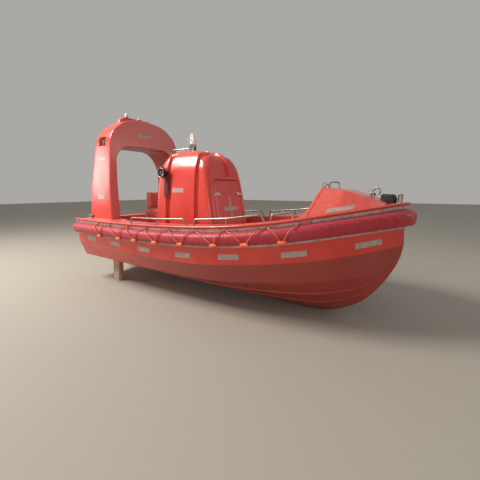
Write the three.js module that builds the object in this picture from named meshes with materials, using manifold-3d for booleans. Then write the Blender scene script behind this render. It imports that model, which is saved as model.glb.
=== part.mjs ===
// Open fast rescue lifeboat, standing ashore on its forefoot and two timber blocks.
// Millimetres. +X to the bow, +Y to port, +Z up. z = 0 is the ground.
import * as THREE from 'three';
import { mergeVertices } from 'three/addons/utils/BufferGeometryUtils.js';
import Module from 'manifold-3d';

const wasm = await Module();
wasm.setup();

// Driving dimensions
const GAP = 0.3;                 // between pieces that touch
const TRANSOM_X = -2485;
const DECK_T = 14;               // deck moulding
const SOLE_Z = 620;              // underside of the cockpit sole
const SOLE_TOP = SOLE_Z + DECK_T;
const RINGS_PER_STATION = 2;     // hull rings between two stations

// Hull lines by station. Half-breadths y and heights z, from the transom to the bow.
// x, keel z, chine y, chine z, knuckle y, knuckle z, sheer y, sheer z
const STATIONS = [
  [TRANSOM_X, 180, 905, 450, 1015, 704, 1050, 1116],
  [-1600, 138, 915, 430, 1052, 668, 1090, 1110],
  [-600, 88, 922, 414, 1062, 636, 1100, 1114],
  [300, 46, 915, 410, 1060, 646, 1100, 1146],
  [900, 20, 872, 444, 1015, 694, 1082, 1186],
  [1400, 0, 775, 488, 920, 748, 1015, 1246],
  [1700, 0, 665, 508, 808, 784, 920, 1292],
  [2000, 66, 485, 532, 640, 824, 760, 1346],
  [2300, 234, 285, 572, 420, 880, 545, 1400],
  [2520, 484, 132, 640, 232, 924, 350, 1440],
  [2650, 700, 48, 768, 104, 958, 190, 1466],
];
// The stem: x and z where keel, chine, knuckle and sheer meet the centreline
const STEM = { keel: [2712, 848], chine: [2724, 905], knuckle: [2738, 982], sheer: [2747, 1480] };
const KEEL_HALF = 35;            // flat of the keel
const TRANSOM_RAKE = 60;         // how far the transom's foot stands forward of its top

const BEAD_R = 22;               // rolled edge of the deck moulding
const STRIP_T = 9;               // retaining strips of the fender
const STRIP_TOP = [-20, -60];    // from the sheer down
const FENDER_Z = [-62, -236];
const FENDER_DEPTH = 142;
const STRIP_LOW = [-238, -266];
const BOW_FROM = 1000;           // forward of this the fender grows deeper and thinner
const BOW_DROP = 30;
const BOW_THIN = 0.14;

// Cockpit well
const WELL_AFT = -2235;
const WELL_WIDE_TO = 850;
const WELL_FWD = 1700;
const WELL_HALF = 790;
const WELL_HALF_AFT = 650;       // between the arch's legs
const WELL_STEP = [-1640, -1340];
const WELL_HALF_FWD = 520;

// Arch seen from ahead, half of it: y, z from the foot to the middle of the top
const ARCH_FRONT = [
  [868, 1000], [838, 1750], [802, 2400], [785, 2550], [739, 2656],
  [664, 2752], [512, 2862], [335, 2934], [0, 2966],
];
// Arch seen from the side: z, aft x, forward x
const ARCH_SIDE = [
  [1000, -2368, -1716],
  [1750, -2328, -1780],
  [2400, -2246, -1792],
  [2650, -2200, -1798],
  [2860, -2152, -1815],
  [2990, -2112, -1856],
];
// Its opening: x, half width, soffit z, corner's half width and height
const ARCH_OPENING = [
  [-2420, 752, 2416, 650, 790],
  [-1700, 672, 2442, 240, 230],
];
// Raised housing across its top
const ARCH_HOUSING = { aft: -2170, fwd: -2040, foot: 410, half: 300, top: 3030 };
const NAV_NICHE = { x: [-2130, -1930], z: [2424, 2584], depth: 90 };

// Console casing by height
// z, aft x, forward x, half width, corner radius
const CONSOLE = [
  [SOLE_TOP + GAP, -1025, 318, 500, 70],
  [1500, -1008, 171, 488, 80],
  [1900, -985, 103, 455, 100],
  [2070, -962, 56, 415, 130],
  [2175, -920, -10, 368, 150],
  [2250, -862, -120, 300, 150],
  [2284, -800, -260, 225, 130],
  [2295, -750, -360, 165, 100],
];
const CONSOLE_WALL = 72;
const RIB_GROOVES = [[-765, -645], [-141, -38]];
const GROOVE_DEPTH = 42;
const CHANNEL_HALF = 120;
const FRONT_LEAN = (318 - 103) / (1900 - SOLE_TOP);   // forward face, x per z

const HATCH = { half: 356, low: 762, high: 1800, r: 90, t: 34 };
const DOOR_HALF = 250;
const RUN = 6;                   // clearance round a moving panel

const RED = 0xd8432b;

const MAT = {
  grp: [RED, 0.35, 0],
  deck: [0xc94430, 0.6, 0],
  fender: [0xa8202e, 0.55, 0],
  strip: [0x9a8f88, 0.5, 0],
  steel: [0xc8c8c4, 0.25, 1],
  black: [0x1d1d1f, 0.5, 0],
  white: [0xe6e4dc, 0.4, 0],
  orange: [0xf0602a, 0.5, 0],
  timber: [0x8a765c, 0.8, 0],
  alloy: [0x9aa0a4, 0.4, 1],
  seat: [0x9e2f26, 0.6, 0],
  engine: [0x4a5560, 0.5, 0.3],
  lamp_red: [0xb01818, 0.2, 0],
  lamp_green: [0x148a3c, 0.2, 0],
};

const group = new THREE.Group();

// Geometry helpers
function solid(geometry) {
  const g = geometry.clone();
  g.deleteAttribute('normal');
  g.deleteAttribute('uv');
  const m = mergeVertices(g, 1e-3);
  return new wasm.Manifold(new wasm.Mesh({
    numProp: 3,
    vertProperties: new Float32Array(m.attributes.position.array),
    triVerts: new Uint32Array(m.index.array),
  }));
}

function fromTriangles(points, faces) {
  const g = new THREE.BufferGeometry();
  g.setAttribute('position', new THREE.Float32BufferAttribute(points.flat(), 3));
  g.setIndex(faces.flat());
  const flipped = g.clone();
  flipped.setIndex(faces.map(([a, b, c]) => [a, c, b]).flat());
  return volume(points, faces) > 0 ? solid(g) : solid(flipped);
}

function volume(points, faces) {
  const v = points.map((p) => new THREE.Vector3(...p));
  return faces.reduce((sum, [a, b, c]) => sum + v[a].dot(v[b].clone().cross(v[c])) / 6, 0);
}

// A closed solid through rings of like count, each end closed by a fan
function loft(rings) {
  const n = rings[0].length;
  const points = rings.flat();
  const faces = [];
  for (let i = 0; i + 1 < rings.length; i++) {
    for (let j = 0; j < n; j++) {
      const a = i * n + j;
      const b = i * n + (j + 1) % n;
      faces.push([a, b, b + n], [a, b + n, a + n]);
    }
  }
  [[rings[0], 0, 1], [rings.at(-1), (rings.length - 1) * n, -1]].forEach(([ring, base, turn]) => {
    const middle = [0, 1, 2].map((k) => ring.reduce((s, p) => s + p[k], 0) / n);
    points.push(middle);
    for (let j = 0; j < n; j++) {
      const edge = [base + j, base + (j + 1) % n];
      faces.push(turn > 0 ? [points.length - 1, edge[1], edge[0]] : [points.length - 1, ...edge]);
    }
  });
  return fromTriangles(points, faces);
}

function box(x0, x1, y0, y1, z0, z1) {
  const g = new THREE.BoxGeometry(x1 - x0, y1 - y0, z1 - z0);
  return solid(g.translate((x0 + x1) / 2, (y0 + y1) / 2, (z0 + z1) / 2));
}

// A round bar from p to q, tapered where the radii differ
function bar(p, q, r, rEnd = r, sides = 16) {
  const a = new THREE.Vector3(...p);
  const b = new THREE.Vector3(...q);
  const g = new THREE.CylinderGeometry(rEnd, r, a.distanceTo(b), sides);
  const turn = new THREE.Quaternion().setFromUnitVectors(
    new THREE.Vector3(0, 1, 0), b.clone().sub(a).normalize());
  g.applyQuaternion(turn);
  return solid(g.translate(...a.add(b).multiplyScalar(0.5).toArray()));
}

function ball(centre, r, stretch = [1, 1, 1], sides = 12) {
  const g = new THREE.SphereGeometry(r, sides, Math.round(sides * 0.6));
  return solid(g.scale(...stretch).translate(...centre));
}

function ring(centre, axis, r, tube, sides = 24) {
  const g = new THREE.TorusGeometry(r, tube, 6, sides);
  const turn = new THREE.Quaternion().setFromUnitVectors(
    new THREE.Vector3(0, 0, 1), new THREE.Vector3(...axis).normalize());
  g.applyQuaternion(turn);
  return solid(g.translate(...centre));
}

// A tube of the given radius through points, with its corners rounded
function pipe(points, r, corner, sides = 8, steps = 4) {
  const p = points.map((q) => new THREE.Vector3(...q));
  const path = new THREE.CurvePath();
  let from = p[0];
  for (let i = 1; i + 1 < p.length; i++) {
    const back = p[i].clone().lerp(p[i - 1], corner / p[i].distanceTo(p[i - 1]));
    const on = p[i].clone().lerp(p[i + 1], corner / p[i].distanceTo(p[i + 1]));
    path.add(new THREE.LineCurve3(from, back));
    path.add(new THREE.QuadraticBezierCurve3(back, p[i], on));
    from = on;
  }
  path.add(new THREE.LineCurve3(from, p.at(-1)));
  const rings = [];
  path.curves.forEach((curve, k) => {
    const count = curve instanceof THREE.LineCurve3 ? 1 : steps;
    for (let i = k ? 1 : 0; i <= count; i++) {
      rings.push([curve.getPoint(i / count), curve.getTangent(i / count)]);
    }
  });
  return sweep(rings, r, sides);
}

// Rings of a round section carried along [point, tangent] pairs
function sweep(stops, r, sides) {
  let side = new THREE.Vector3(0.31, 0.17, 0.93);
  return loft(stops.map(([p, t]) => {
    const tangent = t.clone().normalize();
    side = side.clone().addScaledVector(tangent, -side.dot(tangent)).normalize();
    const up = tangent.clone().cross(side);
    return Array.from({ length: sides }, (_, k) => {
      const a = (2 * Math.PI * k) / sides;
      return p.clone().addScaledVector(side, r * Math.cos(a)).addScaledVector(up, r * Math.sin(a)).toArray();
    });
  }));
}

// A flat outline, [u, v] pairs or a Shape, made thick along one axis
function plate(outline, axis, from, to, curveSegments = 6) {
  const isShape = outline instanceof THREE.Shape;
  const shape = isShape ? outline : new THREE.Shape(outline.map((p) => new THREE.Vector2(...p)));
  const g = new THREE.ExtrudeGeometry(shape, { depth: to - from, bevelEnabled: false, curveSegments });
  g.translate(0, 0, from);
  const basis = {
    x: [[0, 1, 0], [0, 0, 1], [1, 0, 0]],     // u, v are y, z
    y: [[1, 0, 0], [0, 0, 1], [0, 1, 0]],     // u, v are x, z
    z: [[1, 0, 0], [0, 1, 0], [0, 0, 1]],     // u, v are x, y
  }[axis].map((v) => new THREE.Vector3(...v));
  g.applyMatrix4(new THREE.Matrix4().makeBasis(...basis));
  if (axis !== 'y') return solid(g);
  // x, z, y is a left-handed basis, so each triangle is turned round
  const merged = mergeVertices(g.deleteAttribute('normal').deleteAttribute('uv'), 1e-3);
  const turned = Array.from({ length: merged.index.count }, (_, i) => {
    const corner = [0, 2, 1][i % 3];
    return merged.index.getX(i - (i % 3) + corner);
  });
  merged.setIndex(turned);
  return solid(merged);
}

function roundedRect(u0, u1, v0, v1, r) {
  const s = new THREE.Shape();
  s.moveTo(u0 + r, v0);
  s.lineTo(u1 - r, v0);
  s.absarc(u1 - r, v0 + r, r, -Math.PI / 2, 0);
  s.lineTo(u1, v1 - r);
  s.absarc(u1 - r, v1 - r, r, 0, Math.PI / 2);
  s.lineTo(u0 + r, v1);
  s.absarc(u0 + r, v1 - r, r, Math.PI / 2, Math.PI);
  s.lineTo(u0, v0 + r);
  s.absarc(u0 + r, v0 + r, r, Math.PI, 1.5 * Math.PI);
  return s;
}

function join(...pieces) {
  return pieces.flat().reduce((a, b) => a.add(b));
}

function mirror(piece) {
  return piece.mirror([0, 1, 0]);
}

function add(name, piece, look) {
  const mesh = piece.getMesh();
  const g = new THREE.BufferGeometry();
  const step = mesh.numProp;
  const count = mesh.vertProperties.length / step;
  const xyz = new Float32Array(count * 3);
  for (let i = 0; i < count; i++) xyz.set(mesh.vertProperties.subarray(i * step, i * step + 3), i * 3);
  g.setAttribute('position', new THREE.BufferAttribute(xyz, 3));
  g.setIndex(new THREE.BufferAttribute(new Uint32Array(mesh.triVerts), 1));
  const [color, roughness, metalness] = MAT[look];
  const material = new THREE.MeshStandardMaterial({ color, roughness, metalness, flatShading: true });
  const part = new THREE.Mesh(g, material);
  part.name = name;
  group.add(part);
}

// Hull lines, each a smooth curve from the transom to the stem
const LINES = {
  keel: line((s) => [s[0], 0, s[1]], STEM.keel),
  chine: line((s) => [s[0], s[2], s[3]], STEM.chine),
  knuckle: line((s) => [s[0], s[4], s[5]], STEM.knuckle),
  sheer: line((s) => [s[0], s[6], s[7]], STEM.sheer),
};
function line(pick, [stemX, stemZ]) {
  const points = [...STATIONS.map((s) => new THREE.Vector3(...pick(s))), new THREE.Vector3(stemX, 0, stemZ)];
  return new THREE.CatmullRomCurve3(points, false, 'catmullrom', 0.5);
}
const SPANS = STATIONS.length;
const RING_COUNT = SPANS * RINGS_PER_STATION + 1;
const at = (name, i) => LINES[name].getPoint(i / (RING_COUNT - 1));

// Height of the sheer, and its half-breadth, at x
function sheerAt(x) {
  for (let i = 1; i < RING_COUNT; i++) {
    const a = at('sheer', i - 1);
    const b = at('sheer', i);
    if (b.x >= x) return a.lerp(b, (x - a.x) / (b.x - a.x));
  }
  return at('sheer', RING_COUNT - 1);
}

// Outward, level direction of the side at ring i, and the way up the side
function sideFrame(i) {
  const s = at('sheer', i);
  const k = at('knuckle', i);
  const up = s.clone().sub(k).normalize();
  if (i === RING_COUNT - 1) return { s, up, out: new THREE.Vector3(1, 0, 0) };
  const t = LINES.sheer.getTangent(i / (RING_COUNT - 1));
  const out = new THREE.Vector3(-t.y, t.x, 0).normalize();
  return { s, up, out: out.y < 0 ? out.negate() : out };
}

// The hull's outer form, grown outwards by grow and raised by lift on deck
function hullForm(grow, lift) {
  const points = [];
  const half = [];
  for (let i = 0; i < RING_COUNT; i++) {
    const { out } = sideFrame(i);
    const last = i === RING_COUNT - 1;
    const raked = i === 0;
    const keel = at('keel', i);
    const chine = at('chine', i);
    const knuckle = at('knuckle', i);
    const sheer = at('sheer', i);
    const flat = last ? 0 : Math.min(KEEL_HALF, chine.y * 0.5);
    const row = [
      [keel.x, flat, Math.max(0, keel.z) - grow],
      [chine.x, chine.y, chine.z - grow],
      [chine.x, chine.y + (last ? 0 : 12), chine.z + 10],
      [knuckle.x, knuckle.y, knuckle.z],
      [knuckle.x, knuckle.y + (last ? 0 : 10), knuckle.z + 12],
      [sheer.x, sheer.y, sheer.z + lift],
    ].map(([x, y, z], j) => [
      x + out.x * grow + (raked ? TRANSOM_RAKE * (1 - Math.min(1, z / 700)) - grow : 0),
      last ? 0 : y + out.y * grow * (j > 0),
      z,
    ]);
    half.push(row.map((p) => points.push(p) - 1));
    if (!last) half.at(-1).push(...row.map(([x, y, z]) => points.push([x, -y, z]) - 1));
  }
  const n = 6;
  const other = (i, j) => half[i][half[i].length === n ? j : j + n];
  const faces = [];
  const quad = (a, b, c, d) => faces.push([a, b, c], [a, c, d]);
  for (let i = 0; i + 1 < RING_COUNT; i++) {
    for (let j = 0; j + 1 < n; j++) {
      quad(half[i][j], half[i + 1][j], half[i + 1][j + 1], half[i][j + 1]);
      quad(other(i, j + 1), other(i + 1, j + 1), other(i + 1, j), other(i, j));
    }
    quad(other(i, 0), other(i + 1, 0), half[i + 1][0], half[i][0]);
    quad(half[i][n - 1], half[i + 1][n - 1], other(i + 1, n - 1), other(i, n - 1));
  }
  for (let j = 0; j + 1 < n; j++) quad(half[0][j], half[0][j + 1], other(0, j + 1), other(0, j));
  const whole = faces.filter(([a, b, c]) => a !== b && b !== c && a !== c);
  return fromTriangles(points, whole);
}

const HULL = hullForm(0, 0);
const HULL_CLEAR = hullForm(GAP, GAP);
const DECK_CLEAR = hullForm(GAP, DECK_T + 2 * GAP);

// The cockpit well's outline, drawn in by inset
function wellOutline(inset) {
  const a = WELL_AFT + inset;
  const f = WELL_FWD - inset;
  const h = WELL_HALF - inset;
  const hf = WELL_HALF_FWD - inset;
  const ha = WELL_HALF_AFT - inset;
  const r = 120;
  const [narrow, wide] = WELL_STEP;
  const s = new THREE.Shape();
  s.moveTo(a + r, -ha);
  s.lineTo(narrow, -ha);
  s.bezierCurveTo(narrow + 150, -ha, wide - 150, -h, wide, -h);
  s.lineTo(WELL_WIDE_TO, -h);
  s.quadraticCurveTo(f - 250, -h + 60, f - 60, -hf);
  s.quadraticCurveTo(f, -hf + 60, f, -hf + 160);
  s.lineTo(f, hf - 160);
  s.quadraticCurveTo(f, hf - 60, f - 60, hf);
  s.quadraticCurveTo(f - 250, h - 60, WELL_WIDE_TO, h);
  s.lineTo(wide, h);
  s.bezierCurveTo(wide - 150, h, narrow + 150, ha, narrow, ha);
  s.lineTo(a + r, ha);
  s.quadraticCurveTo(a, ha, a, ha - r);
  s.lineTo(a, -ha + r);
  s.quadraticCurveTo(a, -ha, a + r, -ha);
  return s;
}

const ENGINE = { x: [-760, -60], half: 260, low: 330, high: 1080 };
const BAY_ROOM = 60;             // round the engine in its bay

function engineBay(low, high) {
  const half = ENGINE.half + BAY_ROOM;
  return box(ENGINE.x[0] - BAY_ROOM, ENGINE.x[1] + BAY_ROOM, -half, half, low, high);
}

function addHull() {
  const well = plate(wellOutline(-DECK_T - GAP), 'z', SOLE_Z - GAP, 1600);
  add('hull', HULL.subtract(well).subtract(engineBay(ENGINE.low - GAP, 700)), 'grp');
}

// Share of the way from BOW_FROM to the stem
const bowShare = (x) => Math.min(1, Math.max(0, (x - BOW_FROM) / (STEM.sheer[0] - BOW_FROM)));

// A section carried round the edge, from the starboard quarter by the bow to the port quarter.
// section gives [out, up] pairs for a share of the bow and a shrink at the two ends
function edgeSweep(section, closeEnds = false) {
  const endShrink = [0.55, 0.9];
  const rings = [];
  for (let side = 0; side < 2; side++) {
    for (let k = 0; k < RING_COUNT; k++) {
      const i = side ? RING_COUNT - 1 - k : k;
      if (side && k === 0) continue;
      const { s, up, out } = sideFrame(i);
      const shrink = closeEnds && i < endShrink.length ? endShrink[i] : 1;
      rings.push(section(bowShare(s.x), shrink).map(([o, u]) => {
        const p = s.clone().addScaledVector(out, o).addScaledVector(up, u);
        return [p.x, side ? p.y : -p.y, p.z];
      }));
    }
  }
  return loft(rings);
}

// Strips: drop is how much lower the strip lies at the bow
const strip = (t, [top, low], drop = 0) => (bow) => [
  [-12, top - drop * bow], [t, top - drop * bow], [t, low - drop * bow], [-12, low - drop * bow],
];

// Middle height, half height and depth of the fender
function fenderSize(bow) {
  const low = FENDER_Z[1] - BOW_DROP * bow;
  return {
    middle: (FENDER_Z[0] + low) / 2,
    high: (FENDER_Z[0] - low) / 2,
    depth: FENDER_DEPTH * (1 - BOW_THIN * bow),
  };
}

function fenderSection(bow, shrink) {
  const { middle, high, depth } = fenderSize(bow);
  const arc = Array.from({ length: 9 }, (_, k) => {
    const a = (Math.PI / 2) * (1 - k / 4);
    const out = depth * shrink * Math.pow(Math.max(0, Math.cos(a)), 0.62);
    return [out, middle + high * Math.sign(Math.sin(a)) * Math.pow(Math.abs(Math.sin(a)), 0.8)];
  });
  return [[-14, middle + high], ...arc, [-14, middle - high]];
}

function addDeckMoulding() {
  const slab = loft(Array.from({ length: RING_COUNT }, (_, i) => {
    const { x, y, z } = at('sheer', i);
    const half = Math.max(2, y);
    const low = z + GAP;
    const high = low + DECK_T;
    return [[x, -half, low], [x, half, low], [x, half, high], [x, -half, high]];
  }));
  const r = BEAD_R;
  const roll = edgeSweep(() => [
    [1, -16], [r * 0.9, -16], [r + 8, -2], [r + 2, 14], [r * 0.4, 21], [-8, 18], [-8, 3], [1, 3],
  ]).subtract(HULL_CLEAR);
  const tub = plate(wellOutline(-DECK_T), 'z', SOLE_Z, 1700)
    .intersect(hullForm(-2, DECK_T + GAP))
    .subtract(plate(wellOutline(0), 'z', SOLE_TOP, 1800));
  const open = plate(wellOutline(0), 'z', SOLE_TOP, 1800);
  add('deck_moulding', join(slab, roll).subtract(open).add(tub).subtract(engineBay(500, 900)), 'deck');
}

function addFender() {
  add('fender', edgeSweep(fenderSection, true).subtract(HULL_CLEAR), 'fender');
  add('fender_strip_upper', edgeSweep(strip(STRIP_T, STRIP_TOP)).subtract(HULL_CLEAR), 'strip');
  add('fender_strip_lower', edgeSweep(strip(STRIP_T, STRIP_LOW, BOW_DROP)).subtract(HULL_CLEAR), 'strip');
}

// One ring of the arch's opening, its two upper corners quarter ellipses
function archRing([x, half, soffit, a, b]) {
  const steps = 8;
  const corner = Array.from({ length: steps + 1 }, (_, k) => {
    const t = (Math.PI / 2) * (k / steps);
    return [half - a + a * Math.cos(t), soffit - b + b * Math.sin(t)];
  });
  const right = [[half, 300], ...corner];
  const left = right.map(([y, z]) => [-y, z]).reverse();
  return [...right, ...left].map(([y, z]) => [x, y, z]);
}

function addArch() {
  const half = new THREE.SplineCurve(ARCH_FRONT.map((p) => new THREE.Vector2(...p))).getPoints(16);
  const outline = [...half.map((p) => [p.x, p.y]), ...half.slice(0, -1).reverse().map((p) => [-p.x, p.y])];
  const front = plate(outline, 'x', -2500, -1600);
  const side = plate([
    ...ARCH_SIDE.map(([z, aft]) => [aft, z]),
    ...ARCH_SIDE.map(([z, , fwd]) => [fwd, z]).reverse(),
  ], 'y', -1200, 1200);
  const { aft, fwd, foot, half: top, top: high } = ARCH_HOUSING;
  const housing = plate([[-foot, 2800], [foot, 2800], [foot, 2920], [top, high], [-top, high], [-foot, 2920]],
    'x', aft, fwd);
  const { x, z, depth } = NAV_NICHE;
  const niches = [-1, 1].map((k) => box(...x, ...[k * (812 - depth), k * 1000].sort((p, q) => p - q), ...z));
  const arch = front.intersect(side).add(housing).subtract(loft(ARCH_OPENING.map(archRing)));
  add('arch', niches.reduce((p, q) => p.subtract(q), arch).subtract(DECK_CLEAR), 'grp');

  const lamp = [fwd - 70, -215];
  const seat = high + GAP;
  add('arch_lamp', join(
    bar([...lamp, seat], [...lamp, seat + 16], 34),
    bar([...lamp, seat + 15], [...lamp, seat + 72], 24, 21),
    ball([...lamp, seat + 72], 22),
  ), 'white');
  const [inner, outer] = [812 - depth + GAP, 812 - depth + 48];
  [['starboard', -1, 'lamp_green'], ['port', 1, 'lamp_red']].forEach(([name, k, look]) => {
    add('nav_light_' + name, box(x[0] + 50, x[1] - 50, ...[k * inner, k * outer].sort((p, q) => p - q),
      z[0] + 35, z[1] - 45), look);
  });
}

// One level ring of the console, with round corners
function consoleRing([z, aft, fwd, half, r], grow) {
  const round = Math.max(20, r + grow);
  const cx = [fwd + grow - round, aft - grow + round];
  const cy = half + grow - round;
  const corners = [[cx[0], -cy, -1], [cx[0], cy, 0], [cx[1], cy, 1], [cx[1], -cy, 2]];
  return corners.flatMap(([x, y, quarter]) => [0, 1, 2, 3].map((k) => {
    const a = (Math.PI / 2) * (quarter + k / 3);
    return [x + round * Math.cos(a), y + round * Math.sin(a), z + grow];
  }));
}
function consoleForm(grow) {
  const rows = CONSOLE.map((row) => consoleRing(row, grow));
  rows[0] = rows[0].map(([x, y]) => [x, y, CONSOLE[0][0] - (grow < 0 ? 50 : 0)]);
  return loft(rows);
}
const frontX = (z) => CONSOLE[0][2] - FRONT_LEAN * (z - SOLE_TOP);

const HATCH_HINGE = [frontX(HATCH.low) + 13, 0, HATCH.low - 4];
const HINGE_Y = [-200, 200];

// The casing's outside with its grooves, grown by grow
function casingSkin(grow) {
  const deep = consoleForm(grow - GROOVE_DEPTH);
  const grooves = RIB_GROOVES.flatMap(([a, b]) => [-1, 1].map((k) => box(a + grow, b - grow,
    ...[k * 200, k * 700].sort((p, q) => p - q), 640, 2235).subtract(deep)));
  return grooves.reduce((p, q) => p.subtract(q), consoleForm(grow));
}
const CASING_SKIN = casingSkin(GAP);

function addConsole() {
  const form = consoleForm(0);
  const deep = consoleForm(-GROOVE_DEPTH);
  const grooves = RIB_GROOVES.map(([a, b]) => join(
    box(a, b, -700, -200, 640, 2235),
    box(a, b, 200, 700, 640, 2235),
  ).subtract(deep));
  const channel = box(-420, 400, -CHANNEL_HALF, CHANNEL_HALF, 1860, 2400).subtract(deep);
  const inside = consoleForm(-CONSOLE_WALL);
  const { half, low, high, r } = HATCH;
  const rim = 14;
  const hole = plate(roundedRect(-half, half, low, high, r), 'x', -250, 400);
  const frame = plate(roundedRect(-half - rim, half + rim, low - rim, high + rim, r), 'x', 60, 400)
    .intersect(consoleForm(rim / 2)).subtract(hole);
  let casing = [...grooves, channel, inside, hole].reduce((a, b) => a.subtract(b), form);
  const hingeGaps = HINGE_Y.map((y) => box(0, 450, y - 62, y + 62, 700, 790));
  casing = casing.add(frame.subtract(join(hingeGaps)));
  const [hx, , hz] = HATCH_HINGE;
  const lugs = HINGE_Y.flatMap((y) => [
    bar([hx, y - 48, hz], [hx, y + 48, hz], 5),
    box(hx - 60, hx + 8, y - 48, y - 36, hz - 22, hz + 8),
    box(hx - 60, hx + 8, y + 36, y + 48, hz - 22, hz + 8),
  ]);
  casing = join(casing, lugs.map((l) => l.subtract(inside)));
  add('console_casing', casing, 'grp');

  const panel = plate(roundedRect(-half + RUN, half - RUN, low + RUN, high - RUN, r - RUN), 'x', -250, 400)
    .intersect(consoleForm(0)).subtract(consoleForm(-HATCH.t));
  const barrels = HINGE_Y.flatMap((y) => [
    bar([hx, y - 35, hz], [hx, y + 35, hz], 11),
    box(hx - 30, hx + 6, y - 35, y + 35, hz + 10, hz + 60),
    box(hx - 6, hx + 6, y - 35, y + 35, hz, hz + 20),
  ]);
  const pins = HINGE_Y.map((y) => bar([hx, y - 60, hz], [hx, y + 60, hz], 5 + GAP));
  const cut = pins.reduce((a, b) => a.subtract(b), join(panel, barrels));
  add('console_hatch', cut, 'grp');
  [['starboard', -1], ['port', 1]].forEach(([name, k]) => {
    const z = 1570;
    const y = k * 310;
    const x = frontX(z);
    add('hatch_latch_' + name, join(
      box(x - 20, x + 16, y - 25 - 25 * k, y + 25 - 25 * k, z - 18, z + 18),
      bar([x + 24, y - 60 * k, z], [x + 24, y + 60 * k, z], 9),
    ).subtract(consoleForm(GAP)), 'steel');
  });
}

const RAIL_TOP = 2322;
const HOOK = { x: -600, pin: 105 };          // pin above the roof

function addConsoleFittings() {
  const clear = consoleForm(2 * GAP);
  [['starboard', -1], ['port', 1]].forEach(([name, k]) => {
    const y = k * 250;
    add('console_rail_' + name, pipe([
      [-850, y, 2150], [-850, y, RAIL_TOP], [-430, y, RAIL_TOP], [-430, y, 2150],
    ], 11, 55).subtract(clear), 'steel');
  });
  const roof = CONSOLE.at(-1)[0] + GAP;
  const { x } = HOOK;
  add('hook_base', join(
    box(x - 90, x + 90, -60, 60, roof, roof + 14),
    box(x - 60, x + 60, -34, -22, roof, roof + 145),
    box(x - 60, x + 60, 22, 34, roof, roof + 145),
    bar([x, -48, roof + HOOK.pin], [x, 48, roof + HOOK.pin], 13),
  ), 'steel');
  const z = roof + HOOK.pin;
  const head = join(
    plate([[-46, -30], [46, -30], [52, 60], [28, 178], [-10, 210], [-52, 184], [-60, 110]], 'y', -16, 16)
      .translate([x, 0, z + 10]),
    bar([x - 6, -110, z + 96], [x - 6, 110, z + 96], 9),
    bar([x - 20, 0, z + 90], [x - 120, 0, z + 112], 9),
  );
  const hole = bar([x - 12, -60, z + 176], [x - 12, 60, z + 176], 16);
  const pin = bar([x, -60, z], [x, 60, z], 13 + GAP);
  add('hook_head', head.subtract(pin).subtract(hole), 'white');

  const [front, back, y, high] = [-846, -765, -500, 1925];      // stowed on the side, lens aft
  add('searchlight', join(
    bar([front, y, high], [back, y + 10, high], 74, 60, 20),
    bar([front - 14, y, high], [front + 6, y, high], 80, 80, 20),
    box(-830, -790, -500, -430, 1850, 1880),
  ).subtract(clear), 'black');
  const slope = (500 - 488) / (1500 - SOLE_TOP);
  const wall = (h) => (h < 1500 ? 500 - (h - SOLE_TOP) * slope : 488 - (h - 1500) * (33 / 400));
  const middle = -775;
  const strap = [[1838, 44], [1700, 44], [1560, 36], [1500, 18]].map(([h, half]) => {
    const [a, b] = [middle - half, middle + half];
    const [c, d] = [-wall(h) - 9, -wall(h) + 6];
    return [[a, c, h], [b, c, h], [b, d, h], [a, d, h]];
  });
  add('searchlight_strap', loft(strap).subtract(CASING_SKIN), 'black');
}

const WHEEL = { centre: new THREE.Vector3(-1105, 0, 1400), tilt: 0.35, r: 150 };
const WHEEL_AXIS = [-Math.cos(WHEEL.tilt), 0, Math.sin(WHEEL.tilt)];

const HELM_PANEL = [[-1072, 1290], [-960, 1260], [-960, 1620], [-1006, 1600]];    // x, z

function addHelm() {
  const { centre, r } = WHEEL;
  const along = (d) => centre.clone().addScaledVector(new THREE.Vector3(...WHEEL_AXIS), d).toArray();
  const clear = consoleForm(GAP);
  add('helm_panel', join(
    plate(HELM_PANEL, 'y', -330, 330),
    bar(along(-60), along(-12 - GAP), 26),
    bar(along(-120), along(10), 11),
  ).subtract(clear), 'black');
  const rim = ring(along(0), WHEEL_AXIS, r, 14, 18);
  const across = new THREE.Vector3(0, 1, 0);
  const upward = new THREE.Vector3(...WHEEL_AXIS).cross(across).normalize();
  const spokes = [-0.45, Math.PI + 0.45, Math.PI / 2].map((a) => {
    const end = centre.clone().addScaledVector(across, r * Math.cos(a));
    return bar(along(0), end.addScaledVector(upward, r * Math.sin(a)).toArray(), 9);
  });
  add('steering_wheel', join(rim, spokes, bar(along(-12), along(14), 34))
    .subtract(bar(along(-60), along(10 + GAP), 11 + GAP)), 'black');
  const panelClear = plate([[-1072.4, 1289], [-960, 1259], [-960, 1621], [-1006.4, 1601]], 'y', -331, 331);
  add('throttle', join(
    box(-1090, -1000, 200, 262, 1400, 1470),
    bar([-1080, 231, 1440], [-1110, 231, 1560], 9),
    ball([-1110, 231, 1565], 20),
  ).subtract(clear).subtract(panelClear), 'black');
}

const SEAT = { aft: -1635, fwd: -1215, half: 250, top: 1190, cushion: 1285, back: 1612 };

function addSeat() {
  const { aft, fwd, half, top, cushion, back } = SEAT;
  const outline = roundedRect(aft, fwd, -half, half, 60);
  const low = cushion + GAP;
  add('seat_box', plate(outline, 'z', SOLE_TOP + GAP, top), 'grp');
  add('seat_cushion', plate(outline, 'z', top + GAP, cushion), 'seat');
  add('seat_back', plate([
    [aft + 13, low], [aft + 118, low], [aft + 110, back - 30], [aft + 85, back], [aft + 35, back],
    [aft + 15, back - 30],
  ], 'y', -half + 25, half - 25), 'seat');
}

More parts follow.
